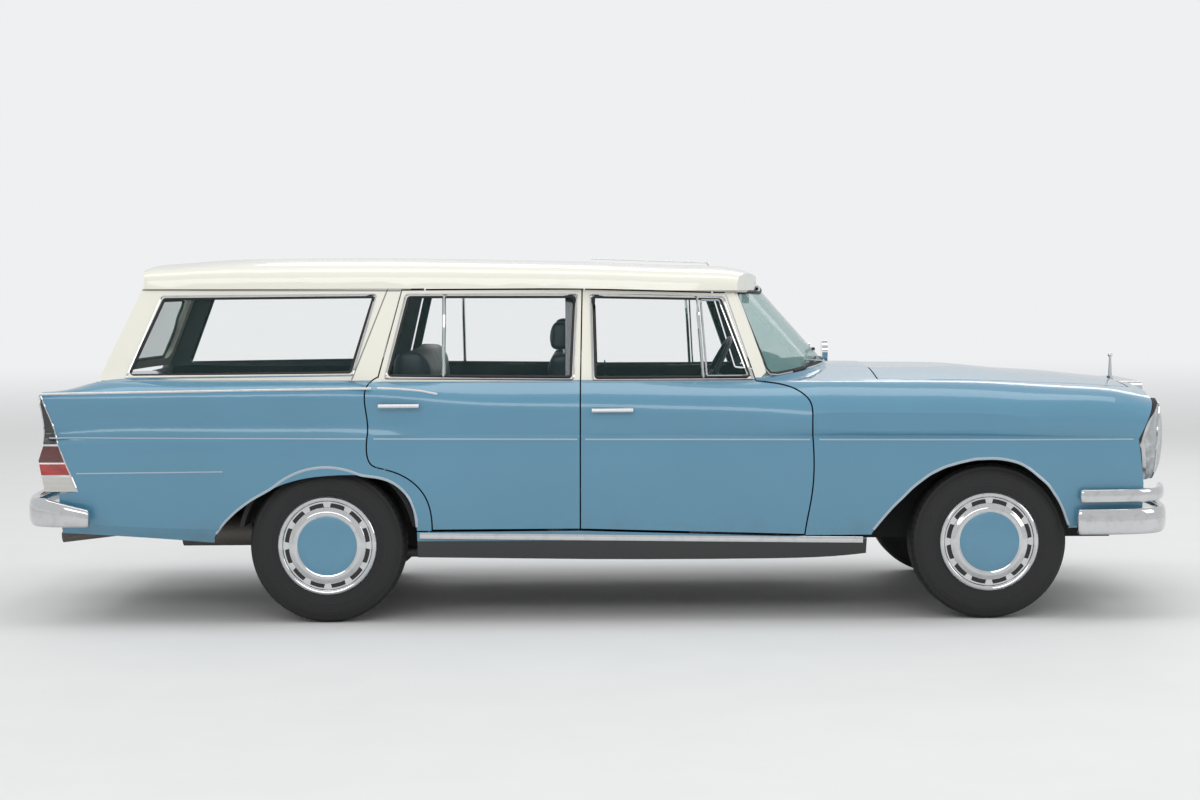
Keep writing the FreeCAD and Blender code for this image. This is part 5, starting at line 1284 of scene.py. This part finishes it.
class WAGON_OT_cabin(bpy.types.Operator):
    """Dashboard and steering wheel finishes, inside mirror and lock knobs."""

    bl_idname = "wagon.cabin"
    bl_label = "Cabin"

    def execute(self, context):
        dress("dashboard", cabin_vinyl("dash_vinyl", 1.2, 420.0))
        dress("steering_wheel", cabin_vinyl("wheel_plastic", 0.8, 900.0))
        black = rubber("mirror_shell")
        shell = eased(block((0.652, -0.115, 1.310), (0.672, 0.115, 1.362)), 0.008, 3)
        stem = moulding([Vector((x, 0, z)) for x, z in MIRROR_STEM], 0.005)
        settle(joined([shell, stem]), "inside_mirror", "body", black)
        for side_name, side in SIDES:
            for door, x in ((f"front_door_{side_name}", 0.030), (f"rear_door_{side_name}", -0.800)):
                knob = turned((0, 0, 0), LOCK_KNOB, 1, steps=16)
                hold(knob)
                bpy.ops.transform.rotate(value=math.pi / 2, orient_axis="X", orient_type="GLOBAL",
                                         center_override=(0, 0, 0))
                baked()
                lowest = min(v.co.z for v in knob.data.vertices)
                rim = on_side(skin(door), x, 1.006, side)
                bpy.ops.transform.translate(value=(x, rim.y - side * 0.036, 0.986 - lowest))
                settle(knob, f"lock_knob_{door}", door, black)
        return {"FINISHED"}


class WAGON_OT_fittings(bpy.types.Operator):
    """Wipers and blank number plates."""

    bl_idname = "wagon.fittings"
    bl_label = "Wipers and plates"

    def execute(self, context):
        metal = chrome("wiper_steel", 0.7)
        black = rubber("wiper_rubber")
        wipers = [self.wiper(skin("fixed_glass"), y) for y in (0.36, -0.20)]
        settle(joined([arm for arm, _ in wipers]), "wiper_arms", "body", metal)
        settle(joined([blade for _, blade in wipers]), "wiper_blades", "body", black)
        white = plate_enamel("plate_enamel")
        for name, z, out, body, behind in PLATES:
            middle = Vector((self.plate_x(skin(behind), z, out), 0, z))
            plate = block(middle - PLATE_HALF, middle + PLATE_HALF)
            edit(plate)
            bpy.ops.mesh.select_mode(type="FACE")
            bpy.ops.mesh.select_all(action="DESELECT")
            bpy.ops.object.mode_set(mode="OBJECT")
            for face in plate.data.polygons:
                face.select = face.normal.x * out > 0.9
            bpy.ops.object.mode_set(mode="EDIT")
            bpy.ops.mesh.inset(thickness=0.006, depth=0)
            bpy.ops.mesh.inset(thickness=0.0015, depth=-0.0012)
            bpy.ops.object.mode_set(mode="OBJECT")
            finish_modifier(plate, "BEVEL", width=0.0015, segments=2, limit_method="ANGLE")
            settle(plate, f"number_plate_{name}", body, white)
        return {"FINISHED"}

    def wiper(self, tree, y):
        """An arm from the cowl and a blade, both just clear of the windscreen."""
        def above(spot, ahead, up):
            return tree.find_nearest(spot)[0] + Vector((ahead, 0, up))

        foot = above(Vector((0.995 - 0.10 * y ** 2, y, 1.046)), 0.012, 0.006)
        tip = above(Vector((0.93, y - 0.30, 1.105)), 0.012, 0.010)
        middle = above(foot.lerp(tip, 0.5), 0.016, 0.012)
        line = [above(Vector((0.96, y - 0.10 - 0.40 * share, 1.085 + 0.022 * share)), 0.006, 0.005)
                for share in shares(6)]
        return moulding([foot, middle, tip], 0.0032), moulding(line, 0.0028, 0.0035)

    def plate_x(self, tree, z, out):
        """Where a plate's middle rests on the bumper or the gate, kept inside the car's length."""
        reaches = []
        for y in (-0.22, 0.0, 0.22):
            for level in (z - 0.045, z, z + 0.045):
                hit = tree.ray_cast(Vector((out * 3.0, y, level)), Vector((-out, 0, 0)))[0]
                if hit is not None:
                    reaches.append(out * hit.x)
        limit = cad_box[1].x if out > 0 else -cad_box[0].x
        return out * min(max(reaches) + PLATE_GAP, limit - PLATE_GAP)


class WAGON_OT_stage(bpy.types.Operator):
    """Pale floor, soft lamps and the camera."""

    bl_idname = "wagon.stage"
    bl_label = "Stage"

    def execute(self, context):
        scene = context.scene
        sizes = scene.wagon_sizes
        start()
        bpy.ops.mesh.primitive_plane_add(size=1, location=(0, 0, 0))
        context.object.scale = (90, 90, 1)
        floor = baked()
        edit(floor)
        bpy.ops.mesh.subdivide(number_cuts=2)
        bpy.ops.object.mode_set(mode="OBJECT")
        floor.name = "studio_floor"
        floor.data.materials.append(studio_floor("studio_floor_paint"))
        for name, place, aim, size, power in LAMPS:
            bpy.ops.object.light_add(type="AREA", location=place)
            lamp = context.object
            lamp.name = name
            lamp.data.shape = "RECTANGLE"
            lamp.data.size, lamp.data.size_y = size
            lamp.data.energy = power
            lamp.rotation_euler = (Vector(aim) - Vector(place)).to_track_quat("-Z", "Y").to_euler()
        self.backdrop(scene)
        bpy.ops.object.camera_add(location=(CAMERA_X, -sizes.camera_distance, sizes.camera_height),
                                  rotation=(math.radians(90 - CAMERA_TILT), math.radians(CAMERA_TURN), 0))
        camera = context.object
        camera.name = "photo_camera"
        camera.data.lens = LENS
        camera.data.sensor_width = 36.0
        scene.camera = camera
        scene.view_settings.view_transform = "Standard"
        return {"FINISHED"}

    def backdrop(self, scene):
        """One pale sky lights the car, and a slightly greyer one is seen behind it."""
        world = scene.world or bpy.data.worlds.new("studio")
        scene.world = world
        world.use_nodes = True
        tree = world.node_tree
        back = tree.nodes["Background"]
        back.inputs["Color"].default_value = (*SKY, 1)
        back.inputs["Strength"].default_value = SKY_STRENGTH
        seen = tree.nodes.new("ShaderNodeBackground")
        seen.inputs["Color"].default_value = (*FAR_GLOW, 1)
        which = tree.nodes.new("ShaderNodeLightPath")
        mixed = tree.nodes.new("ShaderNodeMixShader")
        tree.links.new(which.outputs["Is Camera Ray"], mixed.inputs[0])
        tree.links.new(back.outputs[0], mixed.inputs[1])
        tree.links.new(seen.outputs[0], mixed.inputs[2])
        tree.links.new(mixed.outputs[0], tree.nodes["World Output"].inputs["Surface"])


OPERATORS = (WAGON_OT_stage, WAGON_OT_body, WAGON_OT_metal, WAGON_OT_glazing, WAGON_OT_brightwork,
             WAGON_OT_wheels, WAGON_OT_lamps, WAGON_OT_cabin, WAGON_OT_fittings, WAGON_OT_seats)


class WAGON_PT_panel(bpy.types.Panel):
    """Lists the wagon's pieces in the sidebar."""

    bl_idname = "WAGON_PT_panel"
    bl_label = "Station wagon"
    bl_space_type = "VIEW_3D"
    bl_region_type = "UI"
    bl_category = "Wagon"

    def draw(self, context):
        for operator in OPERATORS:
            self.layout.operator(operator.bl_idname)
        for group in (context.scene.wagon_sizes, context.scene.wagon_colours):
            for key in group.bl_rna.properties.keys():
                if key not in ("rna_type", "name"):
                    self.layout.prop(group, key)


CLASSES = (WagonSizes, WagonColours, *OPERATORS, WAGON_PT_panel)


def register():
    for item in CLASSES:
        bpy.utils.register_class(item)
    bpy.types.Scene.wagon_sizes = bpy.props.PointerProperty(type=WagonSizes)
    bpy.types.Scene.wagon_colours = bpy.props.PointerProperty(type=WagonColours)


def unregister():
    del bpy.types.Scene.wagon_colours
    del bpy.types.Scene.wagon_sizes
    for item in reversed(CLASSES):
        bpy.utils.unregister_class(item)


def main():
    register()
    for operator in OPERATORS:
        group, name = operator.bl_idname.split(".")
        getattr(getattr(bpy.ops, group), name)()
    start()


if __name__ == "__main__":
    main()
